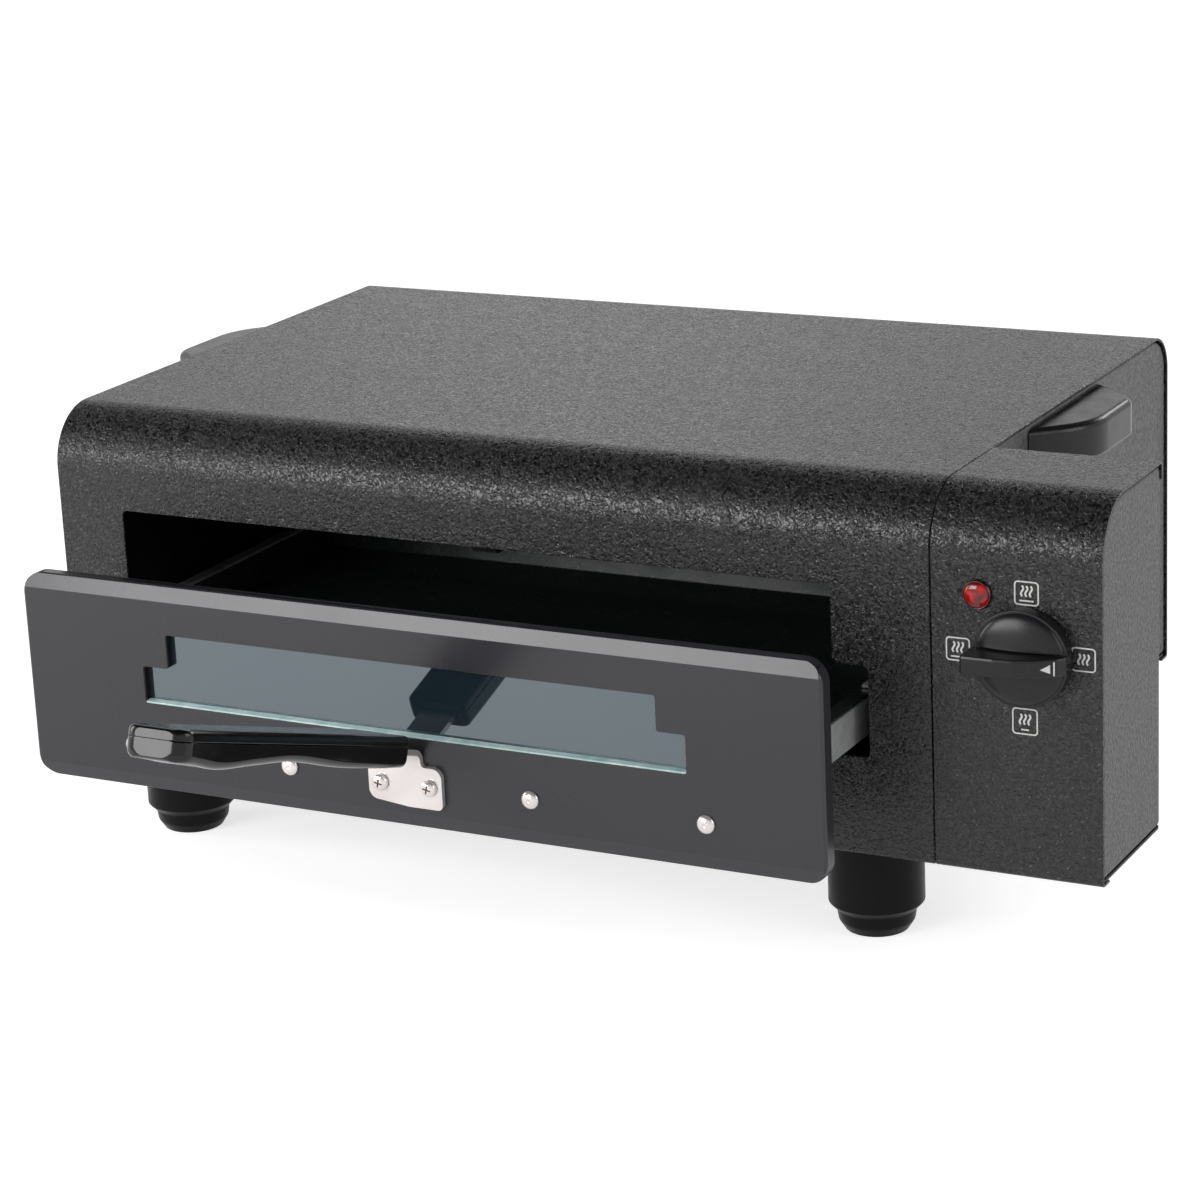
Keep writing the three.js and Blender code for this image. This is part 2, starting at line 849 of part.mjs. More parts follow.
// A ceramic bush round a cold end, seated in the side panel
function elementBush(row, height) {
  const face = panelRecess + seatGap;
  const bore = rodRadius + seatGap;
  const profile = [
    [bore, bushLength - face],
    [bore, -casingSheet - bushLength / 2],
    [bushNeck, -casingSheet - bushLength / 2],
    [bushNeck, seatGap],
    [bushRadius, seatGap],
    [bushRadius, bushLength - face],
    [bore, bushLength - face],
  ];
  const bush = turned(profile, smallFaces).rotateY(Math.PI / 2);
  return bush.translate(casingWidth - panelRecess, row, height);
}

for (const [level, height] of Object.entries(rodHeights)) {
  const wall = level === 'upper' ? chamberCeiling : chamberFloor;
  place(oven, `${level}_heating_element`, heatingElement(height), elementSteel);
  place(oven, `${level}_element_saddle`, elementSaddle(height, wall, drawerCentre), darkSteel);
  rodRows.forEach((row, i) => {
    place(oven, `${level}_element_bush_${i + 1}`, elementBush(row, height), ceramic);
  });
}

// Drawer guides

// A channel that holds one rail and the tray's rim over it
function drawerGuide(side) {
  const web = railOuter + slideGap + guideSheet;
  const lip = web - guideSheet - slideGap - guideLip;
  const low = railBottom - slideGap - guideSheet;
  const high = trayTop + slideGap + guideSheet;
  const x = (distance) => drawerCentre + side * distance;
  const corners = [[x(lip), low], [x(web), low, guideBend], [x(web), high, guideBend], [x(lip), high]];
  const section = foldedSheet(side > 0 ? corners : corners.reverse(), -guideSheet);
  const channel = alongY(section, guideStart, guideEnd);
  const wall = chamberRight - drawerCentre - seatGap;
  const half = standoffLength / 2;
  const standoffs = [guideStart + standoffInset, guideEnd - standoffInset].map((y) => {
    const [x0, x1] = [x(web - guideSheet / 2), x(wall)].sort((a, b) => a - b);
    return block(x0, y - half, low + guideBend, x1, y + half, high - guideBend);
  });
  return join(channel, ...standoffs);
}

place(oven, 'drawer_guide_left', drawerGuide(-1), zincSteel);
place(oven, 'drawer_guide_right', drawerGuide(1), zincSteel);

// Drawer

const drawer = new THREE.Group();
drawer.position.set(drawerCentre, -drawerPull, 0);
oven.add(drawer);

const outerRivet = halfPanel - rivetEdgeInset;
const innerRivet = innerRivetSpread / 2;
const rivetPlaces = [-outerRivet, -innerRivet, innerRivet, outerRivet];
const screwPlaces = [-screwSpread / 2, screwSpread / 2];

function frontHoles(y0, y1) {
  return [...rivetPlaces, ...screwPlaces].map((x) => (
    alongY(circle(x, rivetHeight, rivetShankRadius + seatGap), y0, y1)
  ));
}

// The panel's outer or inner form: a rounded plate whose upper and lower borders are bent back
function panelForm(inset, back) {
  const half = halfPanel - inset;
  const low = panelBottom + inset;
  const high = panelTop - inset;
  const face = drawerFace + inset;
  const plate = alongY(
    filleted(rectangle(-half, low, half, high, panelCorner - inset), true, earSteps),
    face,
    back,
  );
  const section = [
    [face, low + bandHeight],
    [face + bandSetback, low],
    [back, low],
    [back, high],
    [face + bandSetback, high],
    [face, high - bandHeight],
  ];
  return common(plate, alongX(filleted(section), -half - overrun, half + overrun));
}

function drawerFront() {
  const upper = halfPanel - windowUpperMargin;
  const lower = halfWindow;
  const opening = filleted([
    [-lower, windowBottom, windowCorner],
    [lower, windowBottom, windowCorner],
    [lower, windowStep, windowCorner],
    [upper, windowStep, windowCorner],
    [upper, windowTop, windowCorner],
    [-upper, windowTop, windowCorner],
    [-upper, windowStep, windowCorner],
    [-lower, windowStep, windowCorner],
  ], true, slotSteps);
  return cut(
    panelForm(0, -seatGap),
    panelForm(panelSheet, overrun),
    alongY(opening, drawerFace - overrun, overrun),
    ...frontHoles(drawerFace - overrun, overrun),
  );
}

function windowGlass() {
  const outline = filleted(rectangle(-glassHalf, glassLow, glassHalf, glassHigh, glassCorner));
  return alongY(outline, glassFront, glassFront + glassThickness, [], glassBevel);
}

// A pressed frame that clamps the glass to the back of the panel
function glassRetainer() {
  const frame = (grow, y0, y1) => alongY(
    filleted(rectangle(
      -glassHalf - grow,
      glassLow - grow,
      glassHalf + grow,
      glassHigh + grow,
      glassCorner,
    )),
    y0,
    y1,
  );
  return cut(
    join(
      frame(retainerReach, glassFront, glassFront + retainerSheet),
      frame(retainerWall, glassFront, retainerBack),
    ),
    frame(seatGap, glassFront - overrun, retainerPocket),
    frame(-retainerLip, retainerPocket - seatGap, retainerPocket + overrun),
  );
}

// The bar behind the panel, with an ear at each end for a rail
function crossBar() {
  const half = railOuter;
  const ear = glassHalf + retainerReach + crossBarEarGap;
  const outline = filleted([
    [-half, crossBarBottom, bracketCorner],
    [half, crossBarBottom, bracketCorner],
    [half, railTop, bracketCorner],
    [ear, railTop, bracketCorner],
    [ear, crossBarTop, bracketCorner],
    [-ear, crossBarTop, bracketCorner],
    [-ear, railTop, bracketCorner],
    [-half, railTop, bracketCorner],
  ]);
  return cut(
    alongY(outline, crossBarFront, crossBarBack),
    ...frontHoles(crossBarFront - overrun, crossBarBack + overrun),
  );
}

// A flat rail whose front end is turned in against the cross bar
function rail(side) {
  const front = crossBarBack + seatGap;
  const [x0, x1] = [side * (railOuter - railSheet), side * railOuter].sort((a, b) => a - b);
  const [t0, t1] = [side * (railOuter - railTab), side * railOuter].sort((a, b) => a - b);
  return join(
    block(x0, front, railBottom, x1, front + railLength, railTop),
    block(t0, front, railBottom, t1, front + railSheet, railTop - bracketCorner),
  );
}

function rearBar() {
  const half = railOuter - railSheet - seatGap;
  const rear = crossBarBack + seatGap + railLength;
  const section = foldedSheet([
    [rear - rearBarHeight, railBottom],
    [rear, railBottom, guideBend],
    [rear, railBottom + rearBarHeight],
  ], -railSheet);
  return alongX(section, -half, half);
}

function ringAt(halfWidth, y0, y1, radius, z) {
  return filleted(rectangle(-halfWidth, y0, halfWidth, y1, radius), true, earSteps)
    .map(({ x, y }) => new THREE.Vector3(x, y, z));
}

// A shallow enamelled tray that hangs on the rails by its rim
function dripTray() {
  const front = retainerBack + seatGap;
  const rear = front + trayLength;
  const half = railOuter - seatGap;
  const rimBottom = railTop + seatGap;
  const rimOutline = filleted(rectangle(-half, front, half, rear, trayCorner), true, earSteps);
  const rim = alongZ(rimOutline, rimBottom, trayTop);
  const basin = (grow, top, bottom) => loft([
    ringAt(
      half - trayRim - trayTaper - grow,
      front + trayRim + trayTaper + grow,
      rear - trayRim - trayTaper - grow,
      trayCorner - grow,
      bottom,
    ),
    ringAt(half - trayRim - grow, front + trayRim + grow, rear - trayRim - grow, trayCorner - grow, top),
  ]);
  return cut(
    join(rim, basin(0, trayTop, rimBottom - trayDepth)),
    basin(traySheet, trayTop + seatGap, rimBottom - trayDepth + traySheet),
  );
}

// A domed rivet, closed behind the cross bar
function rivet() {
  const out = -drawerFace + seatGap;
  const profile = [[0, out + rivetHeadHeight]];
  for (let k = 1; k <= domeSteps; k += 1) {
    const angle = (Math.PI / 2) * (k / domeSteps);
    profile.push([rivetHeadRadius * Math.sin(angle), out + rivetHeadHeight * Math.cos(angle)]);
  }
  const tail = -crossBarBack - seatGap;
  profile.push(
    [rivetShankRadius, out],
    [rivetShankRadius, tail],
    [rivetTailRadius, tail],
    [rivetTailRadius, tail - rivetTailHeight],
    [0, tail - rivetTailHeight],
  );
  return turnedToFront(profile.reverse(), smallFaces);
}

// A pan-head screw that holds the handle's bracket
function bracketScrew() {
  const out = -bracketFace + seatGap;
  const profile = [
    ...screwHeadShares.map(([wide, high]) => [screwHeadRadius * wide, out + screwHeadHeight * high]),
    [rivetShankRadius, out],
    [rivetShankRadius, -crossBarBack - screwEnd],
    [0, -crossBarBack - screwEnd],
  ];
  return turnedToFront(profile.reverse(), smallFaces);
}

place(drawer, 'drawer_front', drawerFront(), satinPaint);
place(drawer, 'window_glass', windowGlass(), windowPane);
place(drawer, 'glass_retainer', glassRetainer(), darkSteel);
place(drawer, 'drawer_cross_bar', crossBar(), zincSteel);
place(drawer, 'drawer_rail_left', rail(-1), zincSteel);
place(drawer, 'drawer_rail_right', rail(1), zincSteel);
place(drawer, 'drawer_rear_bar', rearBar(), zincSteel);
place(drawer, 'drip_tray', dripTray(), enamel);
rivetPlaces.forEach((x, i) => {
  place(drawer, `front_rivet_${i + 1}`, rivet().translate(x, 0, rivetHeight), polishedSteel);
});
screwPlaces.forEach((x, i) => {
  place(drawer, `bracket_screw_${i + 1}`, bracketScrew().translate(x, 0, rivetHeight), polishedSteel);
});

// Drawer handle

// A steel plate on the panel, whose neck turns forward into the tongue that the grip halves hold
function handleBracket() {
  const back = bracketFace + bracketSheet;
  const half = bracketWidth / 2;
  const plate = alongY(filleted([
    [-half, bracketBottom + bracketHeelCorner / 2, bracketHeelCorner],
    [-half + bracketHeelCorner, bracketBottom, bracketHeelCorner],
    [half, bracketBottom, bracketCorner],
    [half, bracketTop, bracketCorner],
    [neckWidth / 2 + bracketCorner, bracketTop, bracketCorner],
    [neckWidth / 2, bracketTop + bracketCorner, bracketCorner],
    [neckWidth / 2, neckHeight - neckBend],
    [-neckWidth / 2, neckHeight - neckBend],
    [-neckWidth / 2, bracketTop + bracketCorner, bracketCorner],
    [-neckWidth / 2 - bracketCorner, bracketTop, bracketCorner],
    [-half, bracketTop, bracketCorner],
  ]), bracketFace, back);
  const reach = handleStandOff + tongueLength;
  const middle = bracketFace;
  const neck = foldedSheet([
    [middle, bracketTop - bracketCorner],
    [middle, neckHeight, neckBend],
    [middle - reach * Math.cos(handleTilt), neckHeight + reach * Math.sin(handleTilt)],
  ], bracketSheet, earSteps);
  const arm = alongX(neck, -neckWidth / 2, neckWidth / 2);
  return cut(join(plate, arm), ...frontHoles(bracketFace - overrun, back + overrun));
}

const gripDepths = new THREE.SplineCurve(
  gripDepthShares.map(([along, depth]) => new THREE.Vector2(along, depth)),
);
const gripTop = handleThickness / 2;
const gripSeam = gripTop - handleTopThickness;

// The half width left at a place along the grip, drawn in at both ends
function gripHalfWidth(distance) {
  const drawnIn = (fromEnd, round) => (
    fromEnd < round ? round - Math.sqrt(round ** 2 - (round - fromEnd) ** 2) : 0
  );
  const narrowing = drawnIn(distance, handleEdgeRound) + drawnIn(handleLength - distance, handleTipRound);
  return handleWidth / 2 - narrowing;
}

// The places of the grip's sections, closer together at both rounded ends
function gripStations() {
  const endShares = [0, 0.25, 0.6, 1];
  const near = endShares.map((share) => share * handleEdgeRound);
  const tip = endShares.map((share) => handleLength - share * handleTipRound).reverse();
  const straight = handleLength - handleTipRound - handleEdgeRound;
  const middle = Array.from({ length: gripSections - 1 }, (_, i) => (
    handleEdgeRound + (straight * (i + 1)) / gripSections
  ));
  return [...near, ...middle, ...tip];
}

// A grip half lofted along its length, between its seam and its rounded back
function gripHalf(seam, backAt, round) {
  const rings = gripStations().map((distance) => {
    const half = gripHalfWidth(distance);
    const level = backAt(distance);
    const outline = [
      [-half, seam],
      [half, seam],
      [half, level, round],
      [-half, level, round],
    ];
    return filleted(outline).map(({ x, y }) => new THREE.Vector3(x, -distance, y));
  });
  const isAbove = backAt(0) > seam;
  return loft(isAbove ? rings : rings.map((ring) => ring.reverse()));
}

// How much the grip's back falls off beside an end
function endDrop(distance) {
  const fromEnd = Math.min(distance, handleLength - distance);
  const nearness = Math.max(handleEdgeRound - fromEnd, 0) / handleEdgeRound;
  return handleEndDrop * nearness ** 2;
}

function upperGrip() {
  return gripHalf(gripSeam, (distance) => gripTop - endDrop(distance), handleEdgeRound);
}

function lowerGrip() {
  const belly = (distance) => {
    const depthShare = gripDepths.getPoint(distance / handleLength).y;
    return gripTop - handleThickness * depthShare + endDrop(distance);
  };
  const half = neckWidth / 2 + seatGap;
  const seat = bracketSheet / 2 + seatGap;
  const slot = block(-half, -tongueLength - 2 * seatGap, -seat, half, overrun, gripSeam + overrun);
  return cut(gripHalf(gripSeam - seatGap, belly, handleBellyRound), slot);
}

// The grip lies along the middle of the tongue, half a sheet above the bracket's bent outline
const grip = new THREE.Group();
const tongueRise = bracketSheet / 2;
grip.position.set(
  0,
  bracketFace - handleStandOff * Math.cos(handleTilt) + tongueRise * Math.sin(handleTilt),
  neckHeight + handleStandOff * Math.sin(handleTilt) + tongueRise * Math.cos(handleTilt),
);
grip.rotation.x = -handleTilt;
drawer.add(grip);
place(drawer, 'handle_bracket', handleBracket(), polishedSteel);
place(grip, 'handle_grip_upper', upperGrip(), bakelite);
place(grip, 'handle_grip_lower', lowerGrip(), bakelite);

// Control box

const controls = new THREE.Group();
oven.add(controls);

// Front and top in one bent sheet, with the same bend as the casing beside it
function controlWrap() {
  const section = foldedSheet([
    [hemWidth, 0],
    [0, 0, hemBend],
    [0, casingHeight, frontBend],
    [controlDepth, casingHeight, hemBend],
    [controlDepth, casingHeight - hemWidth],
  ], casingSheet, bendSteps);
  return cut(
    alongX(section, controlLeft, controlRight),
    alongY(circle(knobCentreX, knobCentreZ, switchBushRadius + seatGap), -overrun, overrun),
    alongY(circle(lampCentreX, lampCentreZ, lampBodyRadius + seatGap), -overrun, overrun),
  );
}

function controlSidePanel() {
  const right = controlRight - panelRecess / 2;
  return dishedPanel(
    sideCorners(frameOffset, controlDepth, 0),
    sideCorners(frameOffset + casingSheet, controlDepth, 0),
    right - controlFlange,
    right,
    true,
  );
}

const rearCoverBack = controlDepth - frameOffset - casingSheet - seatGap;
const rearCoverFront = rearCoverBack - casingSheet;

// The plate that closes the box at the back, with the inlet's cut-out and four vents
function controlRearCover() {
  const half = inletWidth / 2 - inletFlange + seatGap;
  const halfHigh = inletHeight / 2 + seatGap;
  const inlet = filleted(rectangle(
    controlMiddle - half - inletFlange,
    inletCentreZ - halfHigh,
    controlMiddle + half + inletFlange,
    inletCentreZ + halfHigh,
    inletCorner,
  ));
  const vents = Array.from({ length: ventCount }, (_, i) => {
    const z = casingHeight / 2 + ventPitch * (i + 1);
    return filleted(rectangle(
      controlMiddle - ventLength / 2,
      z,
      controlMiddle + ventLength / 2,
      z + ventHeight,
      ventHeight / 2,
    ), true, slotSteps);
  });
  const outline = filleted(rectangle(
    controlLeft,
    basePlateTop + casingSheet + 2 * seatGap,
    controlRight - panelRecess / 2 - casingSheet - 2 * seatGap,
    casingHeight - frameOffset - casingSheet - seatGap,
    panelFootRound,
  ));
  return alongY(outline, rearCoverFront, rearCoverBack, [inlet, ...vents]);
}

function controlBase() {
  return alongZ(filleted(rectangle(
    controlLeft,
    frameOffset,
    controlRight - panelRecess / 2,
    controlDepth - frameOffset,
    hemBend,
  )), basePlateBottom, basePlateTop);
}

place(controls, 'control_wrap', controlWrap(), powderCoat);
place(controls, 'control_side_panel', controlSidePanel(), sidePaint);
place(controls, 'control_rear_cover', controlRearCover(), sidePaint);
place(controls, 'control_base', controlBase(), darkSteel);

// Heat selector

const selector = new THREE.Group();
selector.position.set(knobCentreX, 0, knobCentreZ);
controls.add(selector);

// A round knob with two hollowed cheeks beside a grip bar that falls to its marked end
function selectorKnob() {
  const skirt = turnedToFront([
    [0, seatGap],
    [knobRadius, seatGap],
    [knobRadius, knobSkirt - knobRimRound],
    [knobRadius - knobRimRound, knobSkirt],
    [0, knobSkirt],
  ], knobFaces);
  const clear = knobSkirt + overrun;
  const bowl = turnedToFront([[0, 0], [cheekRadius, 0], [cheekRadius, clear], [0, clear]], knobFaces);
  const half = barWidth / 2;
  const [outShare, heightShare] = cheekSlopeShares;
  const cheek = (side) => common(alongX(filleted([
    [-clear, side * half],
    [-cheekFloor, side * half],
    [-cheekFloor, side * barWidth],
    [-knobSkirt * heightShare, side * cheekRadius * outShare],
    [-knobSkirt, side * (knobRadius + overrun)],
    [-clear, side * (knobRadius + overrun)],
  ]), -knobRadius, knobRadius), bowl);
  const barOutline = filleted([
    [-knobRadius, -seatGap],
    [knobRadius, -seatGap],
    [knobRadius, -knobSkirt],
    ...barCrestShares.map(([along, fall]) => [knobRadius * along, barFall * fall - barHeight]),
    [-knobRadius, -barHeight, knobRimRound],
  ]);
  const bar = alongZ(barOutline, -half, half, [], knobRimRound / 2);
  const socket = turnedToFront([
    [0, 0],
    [shaftRadius + seatGap, 0],
    [shaftRadius + seatGap, shaftSocket + seatGap],
    [0, shaftSocket + seatGap],
  ], smallFaces);
  return cut(join(cut(skirt, cheek(1), cheek(-1)), bar), socket);
}

// A shaft with a flat, which the knob is pushed on to
function switchShaft() {
  const round = turnedToFront([
    [0, -shaftLength + shaftSocket],
    [shaftRadius, -shaftLength + shaftSocket],
    [shaftRadius, shaftSocket],
    [0, shaftSocket],
  ], smallFaces);
  const end = -shaftSocket - overrun;
  const flat = block(-shaftRadius, end, shaftFlat, shaftRadius, 0, shaftRadius + overrun);
  return cut(round, flat);
}

// The switch behind the front, with its threaded bush through the sheet and two rows of tags
function switchBody() {
  const half = switchWidth / 2;
  const front = innerFront;
  const body = alongY(
    filleted(rectangle(-half, -half, half, half, switchCorner), true, slotSteps),
    front,
    front + switchDepth,
    [],
    switchBevel,
  );
  const bush = turnedToFront([
    [0, -front - switchCorner],
    [switchBushRadius, -front - switchCorner],
    [switchBushRadius, 0],
    [0, 0],
  ], smallFaces);
  const tag = (x, z) => block(
    x - switchTagWidth / 2,
    front + switchDepth - switchCorner,
    z - switchTagSheet / 2,
    x + switchTagWidth / 2,
    front + switchDepth + switchTagWidth,
    z + switchTagSheet / 2,
  );
  const tags = [-half / 2, half / 2].flatMap((x) => [tag(x, -half / 2), tag(x, half / 2)]);
  const boreEnd = shaftSocket - shaftLength - seatGap;
  const bore = turnedToFront([
    [0, boreEnd],
    [shaftRadius + seatGap, boreEnd],
    [shaftRadius + seatGap, overrun],
    [0, overrun],
  ], smallFaces);
  return cut(join(body, bush, ...tags), bore);
}

place(selector, 'selector_knob', selectorKnob(), bakelite);
place(selector, 'selector_shaft', switchShaft(), zincSteel);
place(selector, 'selector_switch', switchBody(), ceramic);

// Pilot lamp

const lamp = new THREE.Group();
lamp.position.set(lampCentreX, 0, lampCentreZ);
controls.add(lamp);

const lampBezel = turnedToFront([
  [lampRadius - lampRim, seatGap],
  [lampRadius, seatGap],
  [lampRadius, lampRimEdge],
  [lampRadius - lampRim / 2, lampProud],
  [lampRadius - lampRim, lampProud],
  [lampRadius - lampRim, seatGap],
], lampFaces);

// The red lens: a shallow dome whose neck reaches through the front to the lamp
function lampLens() {
  const edge = lampRadius - lampRim - seatGap;
  const neck = lampBodyRadius - lampRim;
  const stem = [[0, -innerFront], [neck, -innerFront], [neck, seatGap]];
  const profile = [...stem, [edge, seatGap], [edge, lensEdge]];
  for (let k = 1; k <= domeSteps; k += 1) {
    const angle = (Math.PI / 2) * (k / domeSteps);
    profile.push([edge * Math.cos(angle), lensEdge + lensDome * Math.sin(angle)]);
  }
  return turnedToFront(profile, lampFaces);
}

const lampBody = turnedToFront([
  [0, -innerFront - seatGap - lampBodyLength],
  [lampBodyRadius - lampRim, -innerFront - seatGap - lampBodyLength],
  [lampBodyRadius, -innerFront - seatGap - lampBodyLength + lampRim],
  [lampBodyRadius, -innerFront - seatGap],
  [0, -innerFront - seatGap],
], smallFaces);

place(lamp, 'lamp_bezel', lampBezel, polishedSteel);
place(lamp, 'lamp_lens', lampLens(), redLens);
place(lamp, 'lamp_body', lampBody, ceramic);

// Mains inlet

const inlet = new THREE.Group();
inlet.position.set(controlMiddle, rearCoverBack + seatGap, inletCentreZ);
controls.add(inlet);

const inletFloor = inletWall - inletDepth;
const pinPlaces = {
  line: [-pinSpread / 2, -pinRise / 2],
  neutral: [pinSpread / 2, -pinRise / 2],
  earth: [0, pinRise],
};

function pinOutline([x, z], grow) {
  return filleted(rectangle(
    x - pinThickness / 2 - grow,
    z - pinWidth / 2 - grow,
    x + pinThickness / 2 + grow,
    z + pinWidth / 2 + grow,
  ));
}

// A moulded socket with a screw flange, open to the back
function inletHousing() {
  const half = inletWidth / 2;
  const halfHigh = inletHeight / 2;
  const body = alongY(
    filleted(rectangle(-half, -halfHigh, half, halfHigh, inletCorner)),
    -inletDepth,
    inletFlangeThickness,
  );
  const flange = alongY(
    filleted(rectangle(
      -half - inletFlange,
      -halfHigh - inletFlange / 2,
      half + inletFlange,
      halfHigh + inletFlange / 2,
      inletCorner,
    )),
    0,
    inletFlangeThickness,
    [],
    seatGap,
  );
  const socket = alongY(
    filleted(rectangle(
      -half + inletWall,
      -halfHigh + inletWall,
      half - inletWall,
      halfHigh - inletWall,
      inletInnerCorner,
    )),
    inletFloor,
    inletFlangeThickness + overrun,
  );
  const slots = Object.values(pinPlaces).map((at) => (
    alongY(pinOutline(at, seatGap), -inletDepth - overrun, overrun)
  ));
  return cut(join(body, flange), socket, ...slots);
}

place(inlet, 'mains_inlet', inletHousing(), feetPlastic);
for (const [pole, at] of Object.entries(pinPlaces)) {
  const blade = alongY(pinOutline(at, 0), -inletDepth - pinTail, inletFloor + pinProud);
  place(inlet, `inlet_pin_${pole}`, blade, brass);
}

// Terminal block and wires

const terminalBottom = basePlateTop + seatGap;

function terminalBlock() {
  const half = terminalWidth / 2;
  const rear = rearCoverFront / 2;
  const body = block(
    controlMiddle - half,
    rear - terminalDepth,
    terminalBottom,
    controlMiddle + half,
    rear,
    terminalBottom + terminalHeight,
  );
  const wells = [-1, 0, 1].map((k) => {
    const x = controlMiddle + k * terminalPitch;
    const well = circle(x, rear - terminalDepth / 2, terminalWellRadius, rodFaces);
    return alongZ(well, terminalBottom + terminalHeight / 2, terminalBottom + terminalHeight + overrun);
  });
  return cut(body, ...wells);
}

// An insulated wire that leaves one fitting and reaches the next along their own directions
function wire(start, leaving, end, arriving) {
  const path = new THREE.CubicBezierCurve3(
    start,
    start.clone().addScaledVector(leaving, wireSlack),
    end.clone().addScaledVector(arriving, wireSlack),
    end,
  );
  return new THREE.ExtrudeGeometry(new THREE.Shape(circle(0, 0, wireRadius, wireFaces)), {
    steps: wireSteps,
    extrudePath: path,
  });
}

const toBack = new THREE.Vector3(0, 1, 0);
const toFront = new THREE.Vector3(0, -1, 0);
const toRight = new THREE.Vector3(1, 0, 0);
const upwards = new THREE.Vector3(0, 0, 1);

function switchTagEnd(level) {
  const tagOffset = switchWidth / 4;
  return new THREE.Vector3(
    knobCentreX - tagOffset,
    innerFront + switchDepth + switchTagWidth + seatGap,
    knobCentreZ + (level === 'upper' ? tagOffset : -tagOffset),
  );
}

function elementTip(level) {
  return new THREE.Vector3(rodTip + seatGap, rodFrontRow, rodHeights[level]);
}

function pinTailEnd([x, z]) {
  return new THREE.Vector3(
    controlMiddle + x,
    rearCoverBack - inletDepth - pinTail,
    inletCentreZ + z,
  );
}

function terminalWell(k) {
  return new THREE.Vector3(
    controlMiddle + k * terminalPitch,
    (rearCoverFront - terminalDepth) / 2,
    terminalBottom + terminalHeight / 2 + seatGap,
  );
}

place(controls, 'terminal_block', terminalBlock(), ceramic);
for (const level of Object.keys(rodHeights)) {
  const lead = wire(switchTagEnd(level), toBack, elementTip(level), toRight);
  place(controls, `wire_${level}_element`, lead, wireCover);
}
for (const [pole, well] of [['line', -1], ['neutral', 1]]) {
  const lead = wire(pinTailEnd(pinPlaces[pole]), toFront, terminalWell(well), upwards);
  place(controls, `wire_${pole}`, lead, wireCover);
}

// The whole part stands on its feet, centred on the ground below it
const bounds = new THREE.Box3().setFromObject(tandoor, true);
const centre = bounds.getCenter(new THREE.Vector3());
tandoor.position.set(-centre.x, -centre.y, -bounds.min.z);

export default tandoor;
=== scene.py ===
import math

import bmesh
import bpy
from mathutils import Matrix, Vector


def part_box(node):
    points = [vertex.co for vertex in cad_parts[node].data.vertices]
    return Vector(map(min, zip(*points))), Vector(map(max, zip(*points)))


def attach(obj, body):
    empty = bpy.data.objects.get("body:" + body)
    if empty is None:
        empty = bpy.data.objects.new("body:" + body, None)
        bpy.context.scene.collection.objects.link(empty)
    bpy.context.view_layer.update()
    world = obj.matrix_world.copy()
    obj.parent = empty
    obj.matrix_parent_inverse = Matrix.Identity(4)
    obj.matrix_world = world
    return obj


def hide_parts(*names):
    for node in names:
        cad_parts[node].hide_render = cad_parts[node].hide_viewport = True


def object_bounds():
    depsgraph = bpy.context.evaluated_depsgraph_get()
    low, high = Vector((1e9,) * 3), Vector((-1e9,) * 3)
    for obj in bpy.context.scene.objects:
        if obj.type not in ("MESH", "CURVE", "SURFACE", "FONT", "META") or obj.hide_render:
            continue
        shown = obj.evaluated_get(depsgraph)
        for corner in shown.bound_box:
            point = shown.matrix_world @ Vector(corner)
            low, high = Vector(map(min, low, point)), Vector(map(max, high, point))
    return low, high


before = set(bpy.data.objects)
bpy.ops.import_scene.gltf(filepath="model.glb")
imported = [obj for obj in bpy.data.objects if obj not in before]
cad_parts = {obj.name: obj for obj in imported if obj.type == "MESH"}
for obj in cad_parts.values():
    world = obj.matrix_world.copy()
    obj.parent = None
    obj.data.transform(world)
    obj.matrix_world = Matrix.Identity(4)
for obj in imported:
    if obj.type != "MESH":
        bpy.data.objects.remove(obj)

CAD_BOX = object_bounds()
MM = 0.001
# The casing's front lower left corner; lengths below are millimetres from there
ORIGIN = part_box("casing_wrap")[0]

# Sizes of the solids that the finer pieces follow
CASING_WIDTH, CASING_DEPTH, CASING_HEIGHT = 440, 302, 165
SHEET = 1.2
FRONT_BEND, REAR_BEND, HEM, HEM_BEND = 27, 18, 8, 2
SEAT, SEAM = 0.3, 0.7
RECESS, FLANGE, EDGE_ROUND, FOOT_ROUND = 1, 9, 1.5, 2.4
FRAME_OFFSET = SHEET + SEAM
BASE_TOP = 2 * SHEET + SEAT
OVERRUN = 6
CONTROL_LEFT, CONTROL_WIDTH, CONTROL_DEPTH, CONTROL_FLANGE = 440.7, 75, 74, 10
CONTROL_RIGHT = CONTROL_LEFT + CONTROL_WIDTH
KNOB_AT = (482.2, 98.3)
LAMP_AT = (461.5, 122.4)
DRAWER = (215, -46, 0)
HALF_PANEL, PANEL_BOTTOM, PANEL_TOP = 200, 6, 104
DRAWER_FACE, PANEL_SHEET = -8.3, 1.5
PANEL_BACK = DRAWER_FACE + PANEL_SHEET
BAND, SETBACK = 7, 2.6
RIVET_Z = 26.97
BRACKET_FACE, BRACKET_SHEET = -11.1, 2.5


# Outlines

def filleted(corners, closed=True, steps=8):
    """A run of corners (x, y, radius) with each corner turned into an arc."""
    points = []
    for i, corner in enumerate(corners):
        here = Vector(corner[:2])
        radius = corner[2] if len(corner) > 2 else 0
        if radius <= 0 or (not closed and i in (0, len(corners) - 1)):
            points.append(here)
            continue
        incoming = (here - Vector(corners[i - 1][:2])).normalized()
        outgoing = (Vector(corners[(i + 1) % len(corners)][:2]) - here).normalized()
        turn = math.atan2(incoming.cross(outgoing), incoming.dot(outgoing))
        start = here - incoming * (radius * math.tan(abs(turn) / 2))
        centre = start + Vector((-incoming.y, incoming.x)) * math.copysign(radius, turn)
        for k in range(steps + 1):
            points.append(centre + Matrix.Rotation(turn * k / steps, 2) @ (start - centre))
    return points


